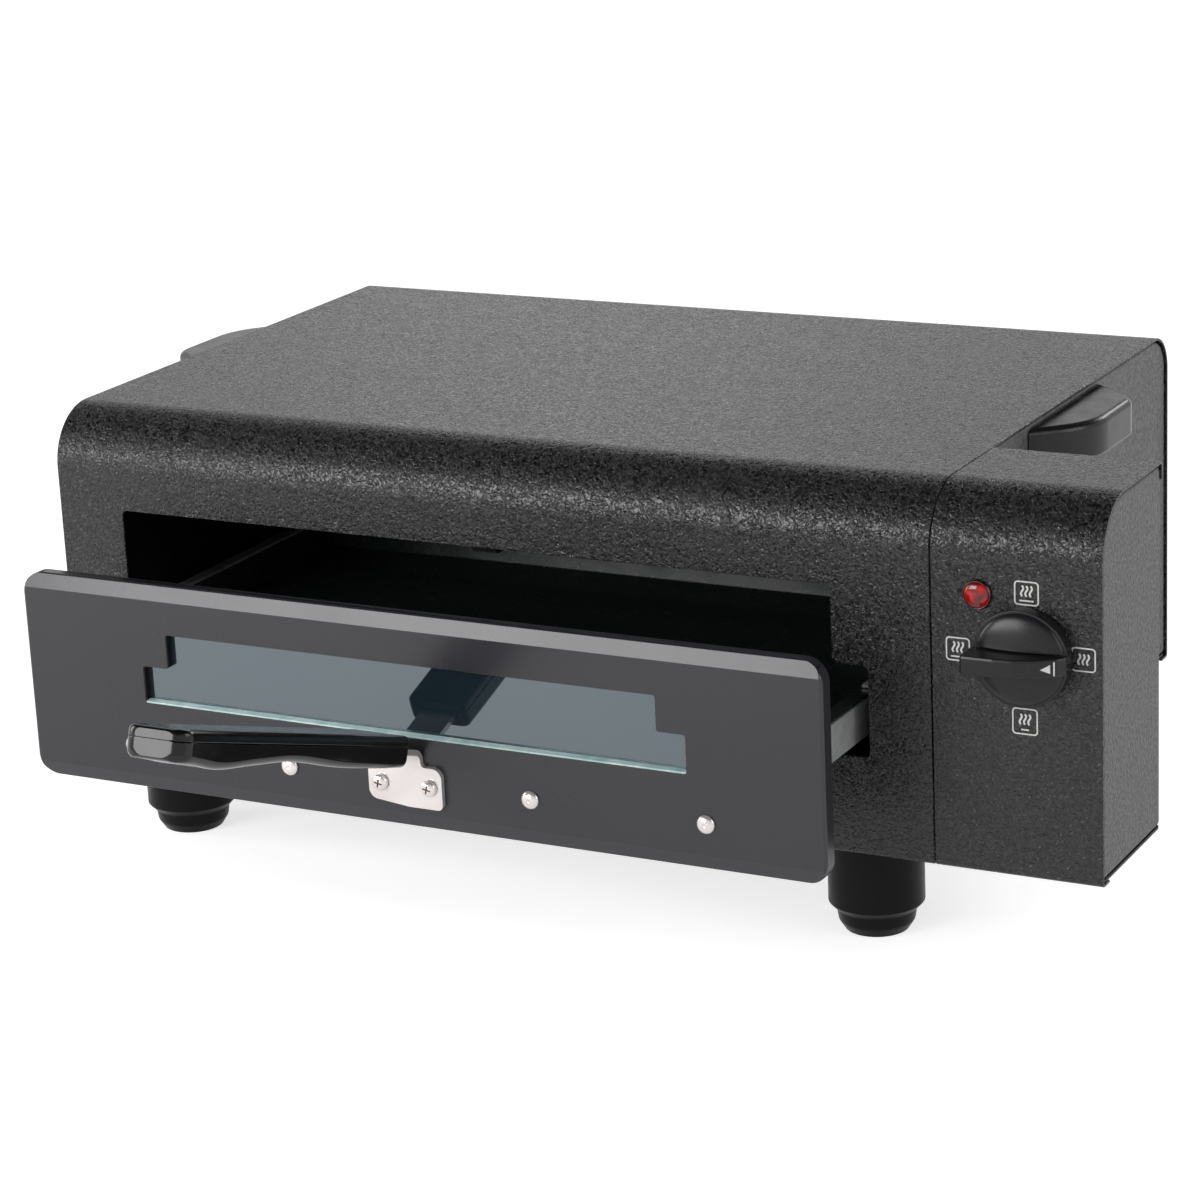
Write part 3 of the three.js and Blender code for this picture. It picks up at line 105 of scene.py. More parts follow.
def beside(points, distance, closed=False):
    """A run of points moved sideways, to the right of its direction."""
    moved = []
    last = len(points) - 1
    for i, point in enumerate(points):
        before = points[i - 1] if closed or i > 0 else point
        after = points[(i + 1) % len(points)] if closed or i < last else point
        first = (point - before if before is not point else after - point).normalized()
        second = (after - point).normalized() if after is not point else first
        middle = (first + second).normalized()
        reach = distance / middle.dot(first)
        moved.append(Vector((point.x + middle.y * reach, point.y - middle.x * reach)))
    return moved


def shrunk(points, distance):
    """A closed outline moved inwards."""
    area = sum(points[i - 1].cross(p) for i, p in enumerate(points))
    return beside(points, -distance * math.copysign(1, area), closed=True)


def folded(corners, thickness, steps=24):
    outer = filleted(corners, closed=False, steps=steps)
    return outer + beside(outer, thickness)[::-1]


def rectangle(x0, y0, x1, y1, radius=0):
    return [(x0, y0, radius), (x1, y0, radius), (x1, y1, radius), (x0, y1, radius)]


def circle(x, y, radius, faces=48):
    turns = (2 * math.pi * i / faces for i in range(faces))
    return [Vector((x + radius * math.cos(t), y + radius * math.sin(t))) for t in turns]


# Solids, as bmesh

PUT = {
    "x": lambda u, v, w: (w, u, v),
    "y": lambda u, v, w: (u, w, v),
    "z": lambda u, v, w: (u, v, w),
}


def skin(rings):
    """Faces between rings of points, where a ring of one point closes to a tip."""
    bm = bmesh.new()
    loops = [[bm.verts.new(p) for p in ring] for ring in rings]
    for near, far in zip(loops, loops[1:]):
        for i in range(max(len(near), len(far))):
            places = ((near, i - 1), (near, i), (far, i), (far, i - 1))
            corners = [ring[k % len(ring)] for ring, k in places]
            bm.faces.new(list(dict.fromkeys(corners)))
    for loop in (loops[0], loops[-1]):
        if len(loop) > 2:
            bm.faces.new(loop)
    bmesh.ops.recalc_face_normals(bm, faces=bm.faces)
    return bm


def slab(outline, axis, a, b, round_a=0, round_b=0, steps=6):
    """An outline carried from a to b, with its edges rounded at either end."""
    way = 1 if b > a else -1
    quarter = [math.pi / 2 * k / steps for k in range(steps + 1)]
    stations = [(0, a)] if round_a == 0 else [
        (round_a * (1 - math.sin(t)), a + way * round_a * (1 - math.cos(t))) for t in quarter
    ]
    stations += [(0, b)] if round_b == 0 else [
        (round_b * (1 - math.sin(t)), b - way * round_b * (1 - math.cos(t)))
        for t in reversed(quarter)
    ]
    rings = []
    for inset, w in stations:
        points = shrunk(outline, inset) if inset > 0 else outline
        rings.append([PUT[axis](p.x, p.y, w) for p in points])
    return skin(rings)


def block(x0, y0, z0, x1, y1, z1):
    return slab(filleted(rectangle(x0, y0, x1, y1)), "z", z0, z1)


def turned(profile, faces=96, to_front=False):
    """A profile of (radius, height) turned about Z, or about an axis that points to the front."""
    rings = []
    for radius, height in profile:
        ring = []
        for i in range(faces if radius > 1e-6 else 1):
            t = 2 * math.pi * i / faces
            u, v = radius * math.cos(t), radius * math.sin(t)
            ring.append((u, -height, v) if to_front else (u, v, height))
        rings.append(ring)
    return skin(rings)


def moved(bm, x=0, y=0, z=0, turn=None):
    if turn is not None:
        bmesh.ops.transform(bm, matrix=turn, verts=bm.verts)
    bmesh.ops.translate(bm, vec=(x, y, z), verts=bm.verts)
    return bm


def scratch_object(bm):
    mesh = bpy.data.meshes.new("scratch")
    bm.to_mesh(mesh)
    bm.free()
    thing = bpy.data.objects.new("scratch", mesh)
    bpy.context.collection.objects.link(thing)
    return thing


def combined(operation, body, tools):
    base = scratch_object(body)
    others = [scratch_object(tool) for tool in tools]
    for other in others:
        modifier = base.modifiers.new("combine", "BOOLEAN")
        modifier.operation = operation
        modifier.solver = "EXACT"
        modifier.object = other
    result = bmesh.new()
    result.from_object(base, bpy.context.evaluated_depsgraph_get())
    for thing in (base, *others):
        bpy.data.meshes.remove(thing.data)
    bmesh.ops.dissolve_degenerate(result, dist=1e-4, edges=result.edges)
    return result


def cut(body, *tools):
    return combined("DIFFERENCE", body, tools)


def join(body, *tools):
    return combined("UNION", body, tools)


def common(body, *tools):
    return combined("INTERSECT", body, tools)


BEVEL_STEPS = 2


def piece(
    name, bm, finish, nodes=(), body="oven", slot=None, at=(0, 0, 0), bevel=0, sharp=32,
):
    """A named piece in its place, with a finish, a body and the nodes that it stands for."""
    for vert in bm.verts:
        vert.co = ORIGIN + (vert.co + Vector(at)) * MM
    mesh = bpy.data.meshes.new(name)
    bm.to_mesh(mesh)
    bm.free()
    mesh.materials.append(finishes[finish])
    mesh.shade_smooth()
    mesh.set_sharp_from_angle(angle=math.radians(sharp))
    thing = bpy.data.objects.new(name, mesh)
    bpy.context.collection.objects.link(thing)
    if bevel > 0:
        modifier = thing.modifiers.new("edges", "BEVEL")
        modifier.width = bevel * MM
        modifier.segments = BEVEL_STEPS
        modifier.limit_method = "ANGLE"
        modifier.angle_limit = math.radians(sharp)
        modifier.use_clamp_overlap = False
        modifier.harden_normals = True
    thing.modifiers.new("shading", "WEIGHTED_NORMAL").keep_sharp = True
    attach(thing, body)
    if nodes:
        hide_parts(*nodes)
    return thing


# Finishes

class Finish:
    """A material with a principled shader and a few procedural nodes."""

    def __init__(self, name, colour, roughness, **sockets):
        self.material = bpy.data.materials.new(name)
        self.material.use_nodes = True
        self.nodes = self.material.node_tree.nodes
        self.links = self.material.node_tree.links
        self.shader = self.nodes["Principled BSDF"]
        self.shader.inputs["Base Color"].default_value = (*colour, 1)
        self.shader.inputs["Roughness"].default_value = roughness
        for socket, value in sockets.items():
            self.shader.inputs[socket.replace("_", " ")].default_value = value
        self.place = self.nodes.new("ShaderNodeTexCoord").outputs["Object"]

    def feed(self, socket, value):
        if isinstance(value, bpy.types.NodeSocket):
            self.links.new(value, socket)
        else:
            socket.default_value = value

    def stretched(self, scale):
        mapping = self.nodes.new("ShaderNodeMapping")
        self.feed(mapping.inputs["Vector"], self.place)
        mapping.inputs["Scale"].default_value = scale
        return mapping.outputs["Vector"]

    def noise(self, size, detail=2, roughness=0.5, distortion=0, place=None):
        """Noise whose lumps are about size millimetres wide."""
        node = self.nodes.new("ShaderNodeTexNoise")
        self.feed(node.inputs["Vector"], place or self.place)
        node.inputs["Scale"].default_value = 1 / (size * MM)
        node.inputs["Detail"].default_value = detail
        node.inputs["Roughness"].default_value = roughness
        node.inputs["Distortion"].default_value = distortion
        return node.outputs["Fac"]

    def cells(self, size):
        """Distances within cells about size millimetres wide."""
        node = self.nodes.new("ShaderNodeTexVoronoi")
        node.feature = "F1"
        self.feed(node.inputs["Vector"], self.place)
        node.inputs["Scale"].default_value = 1 / (size * MM)
        return node.outputs["Distance"]

    def ramp(self, value, low, high, out_low=0.0, out_high=1.0):
        node = self.nodes.new("ShaderNodeMapRange")
        self.feed(node.inputs["Value"], value)
        ends = {"From Min": low, "From Max": high, "To Min": out_low, "To Max": out_high}
        for name, number in ends.items():
            node.inputs[name].default_value = number
        return node.outputs["Result"]

    def maths(self, operation, a, b):
        node = self.nodes.new("ShaderNodeMath")
        node.operation = operation
        self.feed(node.inputs[0], a)
        self.feed(node.inputs[1], b)
        return node.outputs[0]

    def colours(self, factor, first, second):
        node = self.nodes.new("ShaderNodeMix")
        node.data_type = "RGBA"
        self.feed(node.inputs[0], factor)
        node.inputs[6].default_value = (*first, 1)
        node.inputs[7].default_value = (*second, 1)
        self.links.new(node.outputs[2], self.shader.inputs["Base Color"])

    def rough(self, value):
        self.links.new(value, self.shader.inputs["Roughness"])

    def bump(self, *layers):
        """Layers of (height, depth in millimetres)."""
        normal = None
        for height, depth in layers:
            node = self.nodes.new("ShaderNodeBump")
            node.inputs["Distance"].default_value = depth * MM
            self.feed(node.inputs["Height"], height)
            if normal is not None:
                self.links.new(normal, node.inputs["Normal"])
            normal = node.outputs["Normal"]
        self.links.new(normal, self.shader.inputs["Normal"])


def linear(r, g, b):
    """A colour from its 0 to 255 display values."""
    return tuple(
        ((c / 255 + 0.055) / 1.055) ** 2.4 if c > 10 else c / 255 / 12.92 for c in (r, g, b)
    )


def powder_coat():
    f = Finish("powder_coat", linear(28, 28, 29), 0.26)
    wrinkles = f.noise(2.8, detail=1, distortion=1.2)
    creases = f.ramp(f.maths("ABSOLUTE", f.maths("SUBTRACT", wrinkles, 0.5), 0), 0, 0.08)
    grain = f.noise(1.5, detail=1, distortion=0.6)
    f.bump((creases, 0.24), (grain, 0.36))
    f.rough(f.ramp(grain, 0.35, 0.65, 0.22, 0.32))
    # The colour is darker along the crease lines as painted shade and lighter on the raised grain
    # as painted highlight.
    height = f.maths("MULTIPLY", creases, f.ramp(grain, 0.35, 0.65))
    f.colours(height, linear(12, 12, 12), linear(34, 34, 35))
    return f.material


def side_paint():
    f = Finish("side_paint", linear(66, 66, 66), 0.5)
    f.bump((f.noise(1.7, detail=2, roughness=0.55, distortion=0.4), 0.45))
    f.rough(f.ramp(f.noise(1.2), 0.35, 0.65, 0.4, 0.52))
    f.colours(f.ramp(f.noise(1.6, detail=2), 0.4, 0.62), linear(46, 47, 47), linear(84, 85, 85))
    return f.material


def satin_paint():
    f = Finish("satin_paint", linear(42, 42, 47), 0.28)
    f.bump((f.noise(0.9, detail=2), 0.006), (f.noise(40), 0.03))
    f.rough(f.ramp(f.noise(50, detail=2), 0, 1, 0.24, 0.34))
    f.colours(f.ramp(f.noise(0.8, detail=3), 0.3, 0.7), linear(39, 39, 44), linear(46, 46, 51))
    return f.material


def dark_steel():
    f = Finish("dark_steel", linear(32, 33, 33), 0.55, Metallic=0.5)
    f.bump((f.noise(0.7, detail=3), 0.02))
    f.rough(f.ramp(f.noise(20, detail=3), 0.3, 0.7, 0.48, 0.64))
    f.colours(f.ramp(f.noise(9, detail=4), 0.3, 0.7), linear(26, 27, 27), linear(40, 41, 41))
    return f.material


def tray_enamel():
    f = Finish("tray_enamel", linear(46, 52, 50), 0.24, Coat_Weight=0.5, Coat_Roughness=0.08)
    f.bump((f.noise(4, detail=2), 0.03))
    f.rough(f.ramp(f.noise(30, detail=3), 0.3, 0.7, 0.18, 0.32))
    f.colours(f.ramp(f.noise(0.9, detail=2), 0.62, 0.72), linear(42, 47, 46), linear(86, 92, 92))
    return f.material


def zinc_steel():
    f = Finish("zinc_steel", linear(186, 188, 188), 0.38, Metallic=0.3)
    f.bump((f.noise(0.5, detail=2, place=f.stretched((1, 0.05, 1))), 0.01))
    f.rough(f.ramp(f.noise(16, detail=3), 0.3, 0.7, 0.32, 0.46))
    f.colours(f.ramp(f.cells(6), 0.1, 0.9), linear(178, 180, 182), linear(196, 197, 197))
    return f.material


def polished_steel():
    f = Finish("polished_steel", linear(226, 218, 216), 0.2, Metallic=0.6)
    f.bump((f.noise(0.4, detail=2, place=f.stretched((0.06, 1, 1))), 0.003), (f.noise(7), 0.03))
    f.rough(f.ramp(f.noise(12, detail=4), 0.3, 0.7, 0.12, 0.24))
    f.colours(f.ramp(f.noise(20, detail=2), 0.3, 0.7), linear(220, 210, 208), linear(232, 226, 225))
    return f.material


def element_steel():
    f = Finish("element_steel", linear(92, 96, 84), 0.42, Metallic=0.8)
    f.bump((f.noise(0.6, detail=3), 0.02))
    f.rough(f.ramp(f.noise(10, detail=3), 0.3, 0.7, 0.32, 0.52))
    f.colours(f.ramp(f.noise(25, detail=3), 0.35, 0.65), linear(82, 86, 76), linear(106, 104, 92))
    return f.material


def bakelite():
    f = Finish("bakelite", linear(13, 13, 14), 0.14, Specular_IOR_Level=0.35)
    f.bump((f.noise(11, detail=1), 0.04), (f.noise(0.5, detail=2), 0.002))
    f.rough(f.ramp(f.noise(9, detail=4), 0.3, 0.7, 0.1, 0.2))
    f.colours(f.ramp(f.noise(0.7, detail=2), 0.35, 0.7), linear(11, 11, 12), linear(17, 17, 18))
    return f.material


def satin_bakelite():
    f = Finish("satin_bakelite", linear(26, 26, 28), 0.26, Specular_IOR_Level=0.3)
    f.bump((f.noise(0.8, detail=2), 0.006), (f.noise(14), 0.03))
    f.rough(f.ramp(f.noise(12, detail=3), 0.3, 0.7, 0.22, 0.3))
    f.colours(f.ramp(f.noise(0.9, detail=2), 0.35, 0.7), linear(23, 23, 25), linear(30, 30, 32))
    return f.material


# Brown-dark colour for the floor of the screw recesses: painted shade of the recess.
def screw_recess_shade():
    f = Finish("screw_recess_shade", linear(84, 50, 40), 0.5)
    f.bump((f.noise(0.3, detail=2), 0.01))
    f.rough(f.ramp(f.noise(1, detail=2), 0.3, 0.7, 0.42, 0.58))
    f.colours(f.ramp(f.noise(0.6, detail=2), 0.3, 0.7), linear(66, 36, 28), linear(104, 68, 56))
    return f.material


def feet_plastic():
    f = Finish("feet_plastic", linear(13, 13, 13), 0.34, Specular_IOR_Level=0.12)
    f.bump((f.noise(0.8, detail=2), 0.012), (f.noise(9), 0.03))
    f.rough(f.ramp(f.noise(7, detail=3), 0.3, 0.7, 0.3, 0.4))
    f.colours(f.ramp(f.noise(1, detail=2), 0.35, 0.7), linear(11, 11, 11), linear(16, 16, 16))
    return f.material


def window_glass():
    f = Finish("window_glass", linear(30, 40, 46), 0.03, IOR=2.3, Specular_Tint=(0.8, 0.93, 1, 1))
    f.bump((f.noise(60, detail=1), 0.01))
    f.rough(f.ramp(f.noise(40, detail=2), 0.3, 0.7, 0.015, 0.04))
    f.colours(f.ramp(f.noise(90, detail=1), 0.3, 0.7), linear(26, 38, 46), linear(34, 44, 50))
    return f.material


# Pale teal glass edge; its pale brightness is a painted highlight of the lit edge.
def glass_edge_highlight():
    f = Finish("glass_edge_highlight", linear(176, 206, 204), 0.12)
    f.bump((f.noise(0.6, detail=2, place=f.stretched((0.02, 1, 1))), 0.05))
    f.rough(f.ramp(f.noise(5, detail=2), 0.3, 0.7, 0.08, 0.2))
    f.colours(f.ramp(f.noise(9, detail=2), 0.3, 0.7), linear(156, 192, 190), linear(206, 226, 224))
    return f.material


def pin_brass():
    f = Finish("pin_brass", linear(214, 178, 96), 0.24, Metallic=1)
    f.bump((f.noise(0.5, detail=2), 0.006))
    f.rough(f.ramp(f.noise(5, detail=3), 0.3, 0.7, 0.18, 0.34))
    f.colours(f.ramp(f.noise(6, detail=3), 0.3, 0.7), linear(204, 166, 84), linear(222, 188, 110))
    return f.material


def ceramic():
    f = Finish("ceramic", linear(232, 226, 212), 0.55)
    f.bump((f.noise(0.6, detail=3), 0.02))
    f.rough(f.ramp(f.noise(5, detail=3), 0.3, 0.7, 0.48, 0.64))
    f.colours(f.ramp(f.noise(4, detail=3), 0.3, 0.7), linear(226, 219, 203), linear(238, 233, 221))
    return f.material


def mineral_wool():
    f = Finish("mineral_wool", linear(206, 188, 132), 0.95, Sheen_Weight=0.2)
    strands = f.noise(1.2, detail=5, roughness=0.7, distortion=1.5, place=f.stretched((1, 0.25, 1)))
    f.bump((strands, 0.8))
    f.rough(f.ramp(strands, 0.3, 0.7, 0.9, 1.0))
    f.colours(f.ramp(strands, 0.35, 0.65), linear(184, 164, 106), linear(222, 206, 158))
    return f.material


def red_lens():
    f = Finish("red_lens", linear(160, 22, 24), 0.08, Transmission_Weight=0.1, IOR=1.49)
    f.bump((f.noise(3, detail=1), 0.05))
    f.rough(f.ramp(f.noise(3, detail=2), 0.3, 0.7, 0.05, 0.12))
    f.colours(f.ramp(f.noise(4.5, detail=1), 0.4, 0.6), linear(112, 22, 22), linear(190, 18, 22))
    return f.material


def lamp_metal():
    f = Finish("lamp_metal", linear(80, 58, 56), 0.22, Metallic=0.9)
    f.bump((f.noise(0.5, detail=2), 0.004))
    f.rough(f.ramp(f.noise(3, detail=2), 0.3, 0.7, 0.18, 0.3))
    f.colours(f.ramp(f.noise(4, detail=2), 0.3, 0.7), linear(66, 44, 42), linear(96, 74, 72))
    return f.material


def wire_cover():
    f = Finish("wire_cover", linear(150, 34, 30), 0.45)
    f.bump((f.noise(0.7, detail=2, place=f.stretched((1, 1, 0.3))), 0.02))
    f.rough(f.ramp(f.noise(4, detail=2), 0.3, 0.7, 0.38, 0.52))
    f.colours(f.ramp(f.noise(3, detail=2), 0.3, 0.7), linear(140, 28, 25), linear(162, 42, 36))
    return f.material


def white_print():
    f = Finish("white_print", linear(214, 214, 212), 0.5)
    f.bump((f.noise(0.6, detail=2), 0.01))
    f.rough(f.ramp(f.noise(2, detail=2), 0.3, 0.7, 0.42, 0.58))
    worn = f.ramp(f.noise(0.5, detail=3), 0.25, 0.6)
    f.colours(worn, linear(190, 190, 188), linear(224, 224, 222))
    return f.material


makers = (
    powder_coat, side_paint, satin_paint, dark_steel, tray_enamel, zinc_steel, polished_steel,
    element_steel, bakelite, satin_bakelite, screw_recess_shade, feet_plastic, window_glass, glass_edge_highlight,
    pin_brass, ceramic, mineral_wool, red_lens, lamp_metal, wire_cover, white_print,
)
finishes = {make.__name__: make() for make in makers}


# Casing

def casing_skin():
    section = folded([
        (HEM, 0), (0, 0, HEM_BEND), (0, CASING_HEIGHT, FRONT_BEND),
        (CASING_DEPTH, CASING_HEIGHT, REAR_BEND), (CASING_DEPTH, 0, HEM_BEND),
        (CASING_DEPTH - HEM, 0),
    ], SHEET)
    middle, corner = DRAWER[0], 2.5
    slot, half = 196.5, 180  # half the mouth's width below and above its step
    low, step, high = 44.5, 85.5, 120
    opening = filleted([
        (middle - slot, low, corner), (middle + slot, low, corner),
        (middle + slot, step, corner), (middle + half, step, corner),
        (middle + half, high, corner), (middle - half, high, corner),
        (middle - half, step, corner), (middle - slot, step, corner),
    ])
    return cut(slab(section, "x", 0, CASING_WIDTH), slab(opening, "y", -OVERRUN, OVERRUN))


def side_corners(inset, depth, rear_radius):
    within = inset - FRAME_OFFSET
    floor = BASE_TOP + SEAT + within
    foot = max(FOOT_ROUND - 2 * within, 0)
    return [
        (inset, floor, foot),
        (depth - inset, floor, foot),
        (depth - inset, CASING_HEIGHT - inset, foot if rear_radius == 0 else rear_radius - inset),
        (inset, CASING_HEIGHT - inset, FRONT_BEND - inset),
    ]


def dished_panel(depth, rear_radius, flange_edge, face, holes=()):
    """A pressed side panel: its face at x = face, its flange ending at x = flange_edge."""
    way = 1 if face > flange_edge else -1
    outer = filleted(side_corners(FRAME_OFFSET, depth, rear_radius), steps=16)
    inner = filleted(side_corners(FRAME_OFFSET + SHEET, depth, rear_radius), steps=16)
    shell = slab(outer, "x", flange_edge, face, round_b=EDGE_ROUND)
    pocket = slab(inner, "x", flange_edge - way * OVERRUN, face - way * SHEET)
    return cut(shell, pocket, *holes)


ROD_ROWS, ROD_HEIGHTS, ROD_HOLE = (28, 58), (33, 118), 5.3


def rod_holes():
    return [
        slab(circle(row, height, ROD_HOLE), "x", CASING_WIDTH - 2 * OVERRUN, CASING_WIDTH + OVERRUN)
        for row in ROD_ROWS for height in ROD_HEIGHTS
    ]


FOOT_HEIGHT, FOOT_FROM_SIDE, FOOT_FROM_END = 45, 40, 30


def foot_cup():
    profile = filleted([
        (0, -FOOT_HEIGHT), (14, -FOOT_HEIGHT, 1.2), (16.9, -40.5, 4), (17.7, -35.2, 0.6),
        (18.6, -34.6, 0.5), (21.3, -31.7, 0.9), (21.3, SHEET, 0.4), (0, SHEET),
    ], closed=False, steps=6)
    return turned(profile)


piece("casing_skin", casing_skin(), "powder_coat", ["casing_wrap"], bevel=0.28)
piece(
    "left_cheek", dished_panel(CASING_DEPTH, REAR_BEND, RECESS + FLANGE, RECESS),
    "side_paint", ["side_panel_left"],
)
right_face = CASING_WIDTH - RECESS
piece(
    "right_cheek",
    dished_panel(CASING_DEPTH, REAR_BEND, right_face - FLANGE, right_face, rod_holes()),
    "side_paint", ["side_panel_right"],
)
for side, x in (("left", FOOT_FROM_SIDE), ("right", CASING_WIDTH - FOOT_FROM_SIDE)):
    for end, y in (("front", FOOT_FROM_END), ("rear", CASING_DEPTH - FOOT_FROM_END)):
        piece(f"cup_{end}_{side}", foot_cup(), "feet_plastic", [f"foot_{end}_{side}"], at=(x, y, 0))


# Carrying handles

EAR_CENTRE, EAR_HALF, EAR_REACH, EAR_SLOPE = 163, 48, 26, 23 / 26
EAR_NEAR_ROUND, EAR_FAR_ROUND, EAR_EDGE = 36, 14, 2


def ear_plan(inset):
    near, far = EAR_CENTRE - (EAR_HALF - inset), EAR_CENTRE + (EAR_HALF - inset)
    reach = EAR_REACH - inset
    return filleted([
        (0, near), (reach, near + reach * EAR_SLOPE, EAR_NEAR_ROUND - inset),
        (reach, far - reach * EAR_SLOPE, EAR_FAR_ROUND - inset), (0, far),
    ], steps=16)


def ear_grip():
    top, height, wall, edge = CASING_HEIGHT - 3.5, 17.5, 3.5, EAR_EDGE
    body = slab(ear_plan(0), "z", top - height, top, edge, wall, steps=8)
    hollow = cut(
        slab(ear_plan(wall), "z", top - height - OVERRUN, top - wall, 0, 1.2),
        block(-OVERRUN, 0, 0, wall + edge, CASING_DEPTH, CASING_HEIGHT),
    )
    return cut(body, hollow, block(-OVERRUN, 0, 0, edge, CASING_DEPTH, CASING_HEIGHT))


EAR_SEAT = RECESS + EAR_EDGE - SEAT
piece(
    "ear_right", ear_grip(), "satin_bakelite", ["carry_handle_right"], slot="bakelite",
    at=(CASING_WIDTH - EAR_SEAT, 0, 0), bevel=0.3,
)
half_turn = Matrix.Rotation(math.pi, 4, "Z")
piece(
    "ear_left", moved(ear_grip(), EAR_SEAT, 2 * EAR_CENTRE, 0, half_turn), "satin_bakelite",
    ["carry_handle_left"], slot="bakelite", bevel=0.3,
)


# Drawer front

RIVETS = (-145, -61, 61, 145)
SCREWS = (-12.25, 12.25)
PANEL_CORNER = 10


def panel_form(inset, back):
    """The panel's dished form, at its surface or inset from it."""
    half, face = HALF_PANEL - inset, DRAWER_FACE + inset
    low, high = PANEL_BOTTOM + inset, PANEL_TOP - inset
    edge = 1.6 if inset == 0 else 0.3
    outline = filleted(rectangle(-half, low, half, high, PANEL_CORNER - inset), steps=12)
    plate = slab(outline, "y", face, back, edge, 0)
    section = filleted([
        (face, low + BAND, 1.2), (face + SETBACK, low, 0.8), (back, low),
        (back, high), (face + SETBACK, high, 0.8), (face, high - BAND, 1.2),
    ], steps=6)
    return common(plate, slab(section, "x", -half - OVERRUN, half + OVERRUN))


WINDOW_LOW, WINDOW_HALF = 48.14, 136.5
PANE_FRONT, PANE_BACK = -4.5, -2.5
PANE_BOX, SHADE_RING_BOX = (-143.5, 41.14, 143.5, 88.46), (-142, 42.6, 142, 87)  # x0, z0, x1, z1
PANE_CORNER = 1.5
HAIR = 0.02  # keeps faces that lie close from coinciding


def window_outline():
    upper, step, high, corner = 123, 65.49, 81.46, 1.2
    right = [
        (WINDOW_HALF, WINDOW_LOW, corner), (WINDOW_HALF, step, corner),
        (upper, step, corner), (upper, high, corner),
    ]
    return filleted(right + [(-x, z, radius) for x, z, radius in reversed(right)])


def drawer_face():
    return cut(
        panel_form(0, -SEAT),
        panel_form(PANEL_SHEET, OVERRUN),
        slab(window_outline(), "y", DRAWER_FACE - OVERRUN, OVERRUN),
    )


def pane():
    outline = filleted(rectangle(*PANE_BOX, PANE_CORNER))
    return slab(outline, "y", PANE_FRONT, PANE_BACK, 0.5, 0.5)


def pane_shade_ring():
    """A black ring between the panel and the pane, as painted shade in the gap around the set-back
    pane.
    """
    outline = filleted(rectangle(*SHADE_RING_BOX, PANE_CORNER))
    ring = slab(outline, "y", PANEL_BACK + HAIR, PANE_FRONT - HAIR)
    return cut(ring, slab(window_outline(), "y", DRAWER_FACE, OVERRUN))


def pane_sill():
    """The polished glass strip that closes the window's lower edge; its pale colour is a painted
    highlight of the lit edge.
    """
    low, front, back = WINDOW_LOW + HAIR, DRAWER_FACE + 0.2, PANE_FRONT - 0.05
    section = filleted([
        (front, low), (back, low), (back, low + 1.2, 0.2), (front, low + 0.7, 0.3),
    ], steps=4)
    return slab(section, "x", -WINDOW_HALF + 0.1, WINDOW_HALF - 0.1)


def on_drawer(name, bm, finish, nodes, **options):
    return piece(name, bm, finish, nodes, body="drawer", at=DRAWER, **options)


on_drawer("drawer_face", drawer_face(), "satin_paint", ["drawer_front"], bevel=0.25)
on_drawer("window_pane", pane(), "window_glass", ["window_glass"])
# The black ring is painted shade in the gap between the panel and the pane.
on_drawer("pane_shade_ring", pane_shade_ring(), "feet_plastic", ["window_glass"])
# The sill's pale colour is a painted highlight of the lit lower edge.
on_drawer("pane_sill", pane_sill(), "glass_edge_highlight", ["window_glass"], slot="window_glass")


def rivet_button():
    out, first, steps = -DRAWER_FACE + SEAT, 0.235, 14
    dome = [(0, out + 1.75), (0.55, out + 1.8), (0.95, out + 2.08)]
    for k in range(1, steps + 1):
        t = first + (math.pi / 2 - first) * k / steps
        dome.append((4.2 * math.sin(t), out + 2.2 * math.cos(t)))
    tail, end = 5.3 - SEAT, 5.3 - SEAT - 1.5
    return dome + [(4.1, out), (1.8, out), (1.8, tail), (3.3, tail), (3.3, end), (0, end)]


def screw_button():
    out = -BRACKET_FACE + SEAT
    shape = filleted([
        (0, out + 2.6), (1.9, out + 2.6, 1.5), (3.75, out + 1.6, 1.6), (3.9, out + 0.1, 0.4),
        (3.9, out),
    ], closed=False, steps=8)
    shank = [(1.8, out), (1.8, 3.8), (0, 3.8)]
    head = turned([(p.x, p.y) for p in shape] + shank, 64, to_front=True)
    return cut(head, *cross_arms(out + 3.2, 1.12, out + 1.1, 0.62))


def cross_arms(front, front_share, back, back_share):
    """The two arms of a screw's cross, tapering from front to back."""
    arms = []
    corners = ((-2.1, -0.42), (2.1, -0.42), (2.1, 0.42), (-2.1, 0.42))
    for turn in (12, 102):
        arm = skin([
            [(x * s, -y, z * s) for x, z in corners]
            for y, s in ((front, front_share), (back, back_share))
        ])
        arms.append(moved(arm, turn=Matrix.Rotation(math.radians(turn), 4, "Y")))
    return arms


def screw_cross():
    """The brown-dark floor of a screw's recess, coloured as painted shade of the recess."""
    out = -BRACKET_FACE + SEAT
    return join(*cross_arms(out + 2.3, 0.95, out + 1.2, 0.7))


for i, x in enumerate(RIVETS, 1):
    button = moved(turned(rivet_button(), 64, to_front=True), x, 0, RIVET_Z)
    on_drawer(f"rivet_button_{i}", button, "polished_steel", [f"front_rivet_{i}"])
for i, x in enumerate(SCREWS, 1):
    node = f"bracket_screw_{i}"
    on_drawer(f"screw_button_{i}", moved(screw_button(), x, 0, RIVET_Z), "polished_steel", [node])
    # Each screw's cross takes a brown-dark colour as painted shade in its recess.
    on_drawer(
        f"screw_cross_{i}", moved(screw_cross(), x, 0, RIVET_Z), "screw_recess_shade", [node],
        slot="polished_steel",
    )


# Drip tray

TRAY_HALF, TRAY_NEAR, TRAY_FAR, TRAY_CORNER, TRAY_LEAST_CORNER = 188.7, -1.1, 233.9, 12, 4


def tray_ring(inset, z):
    half, corner = TRAY_HALF - inset, max(TRAY_CORNER - inset, TRAY_LEAST_CORNER)
    corners = rectangle(-half, TRAY_NEAR + inset, half, TRAY_FAR - inset, corner)
    return [(p.x, p.y, z) for p in filleted(corners, steps=10)]


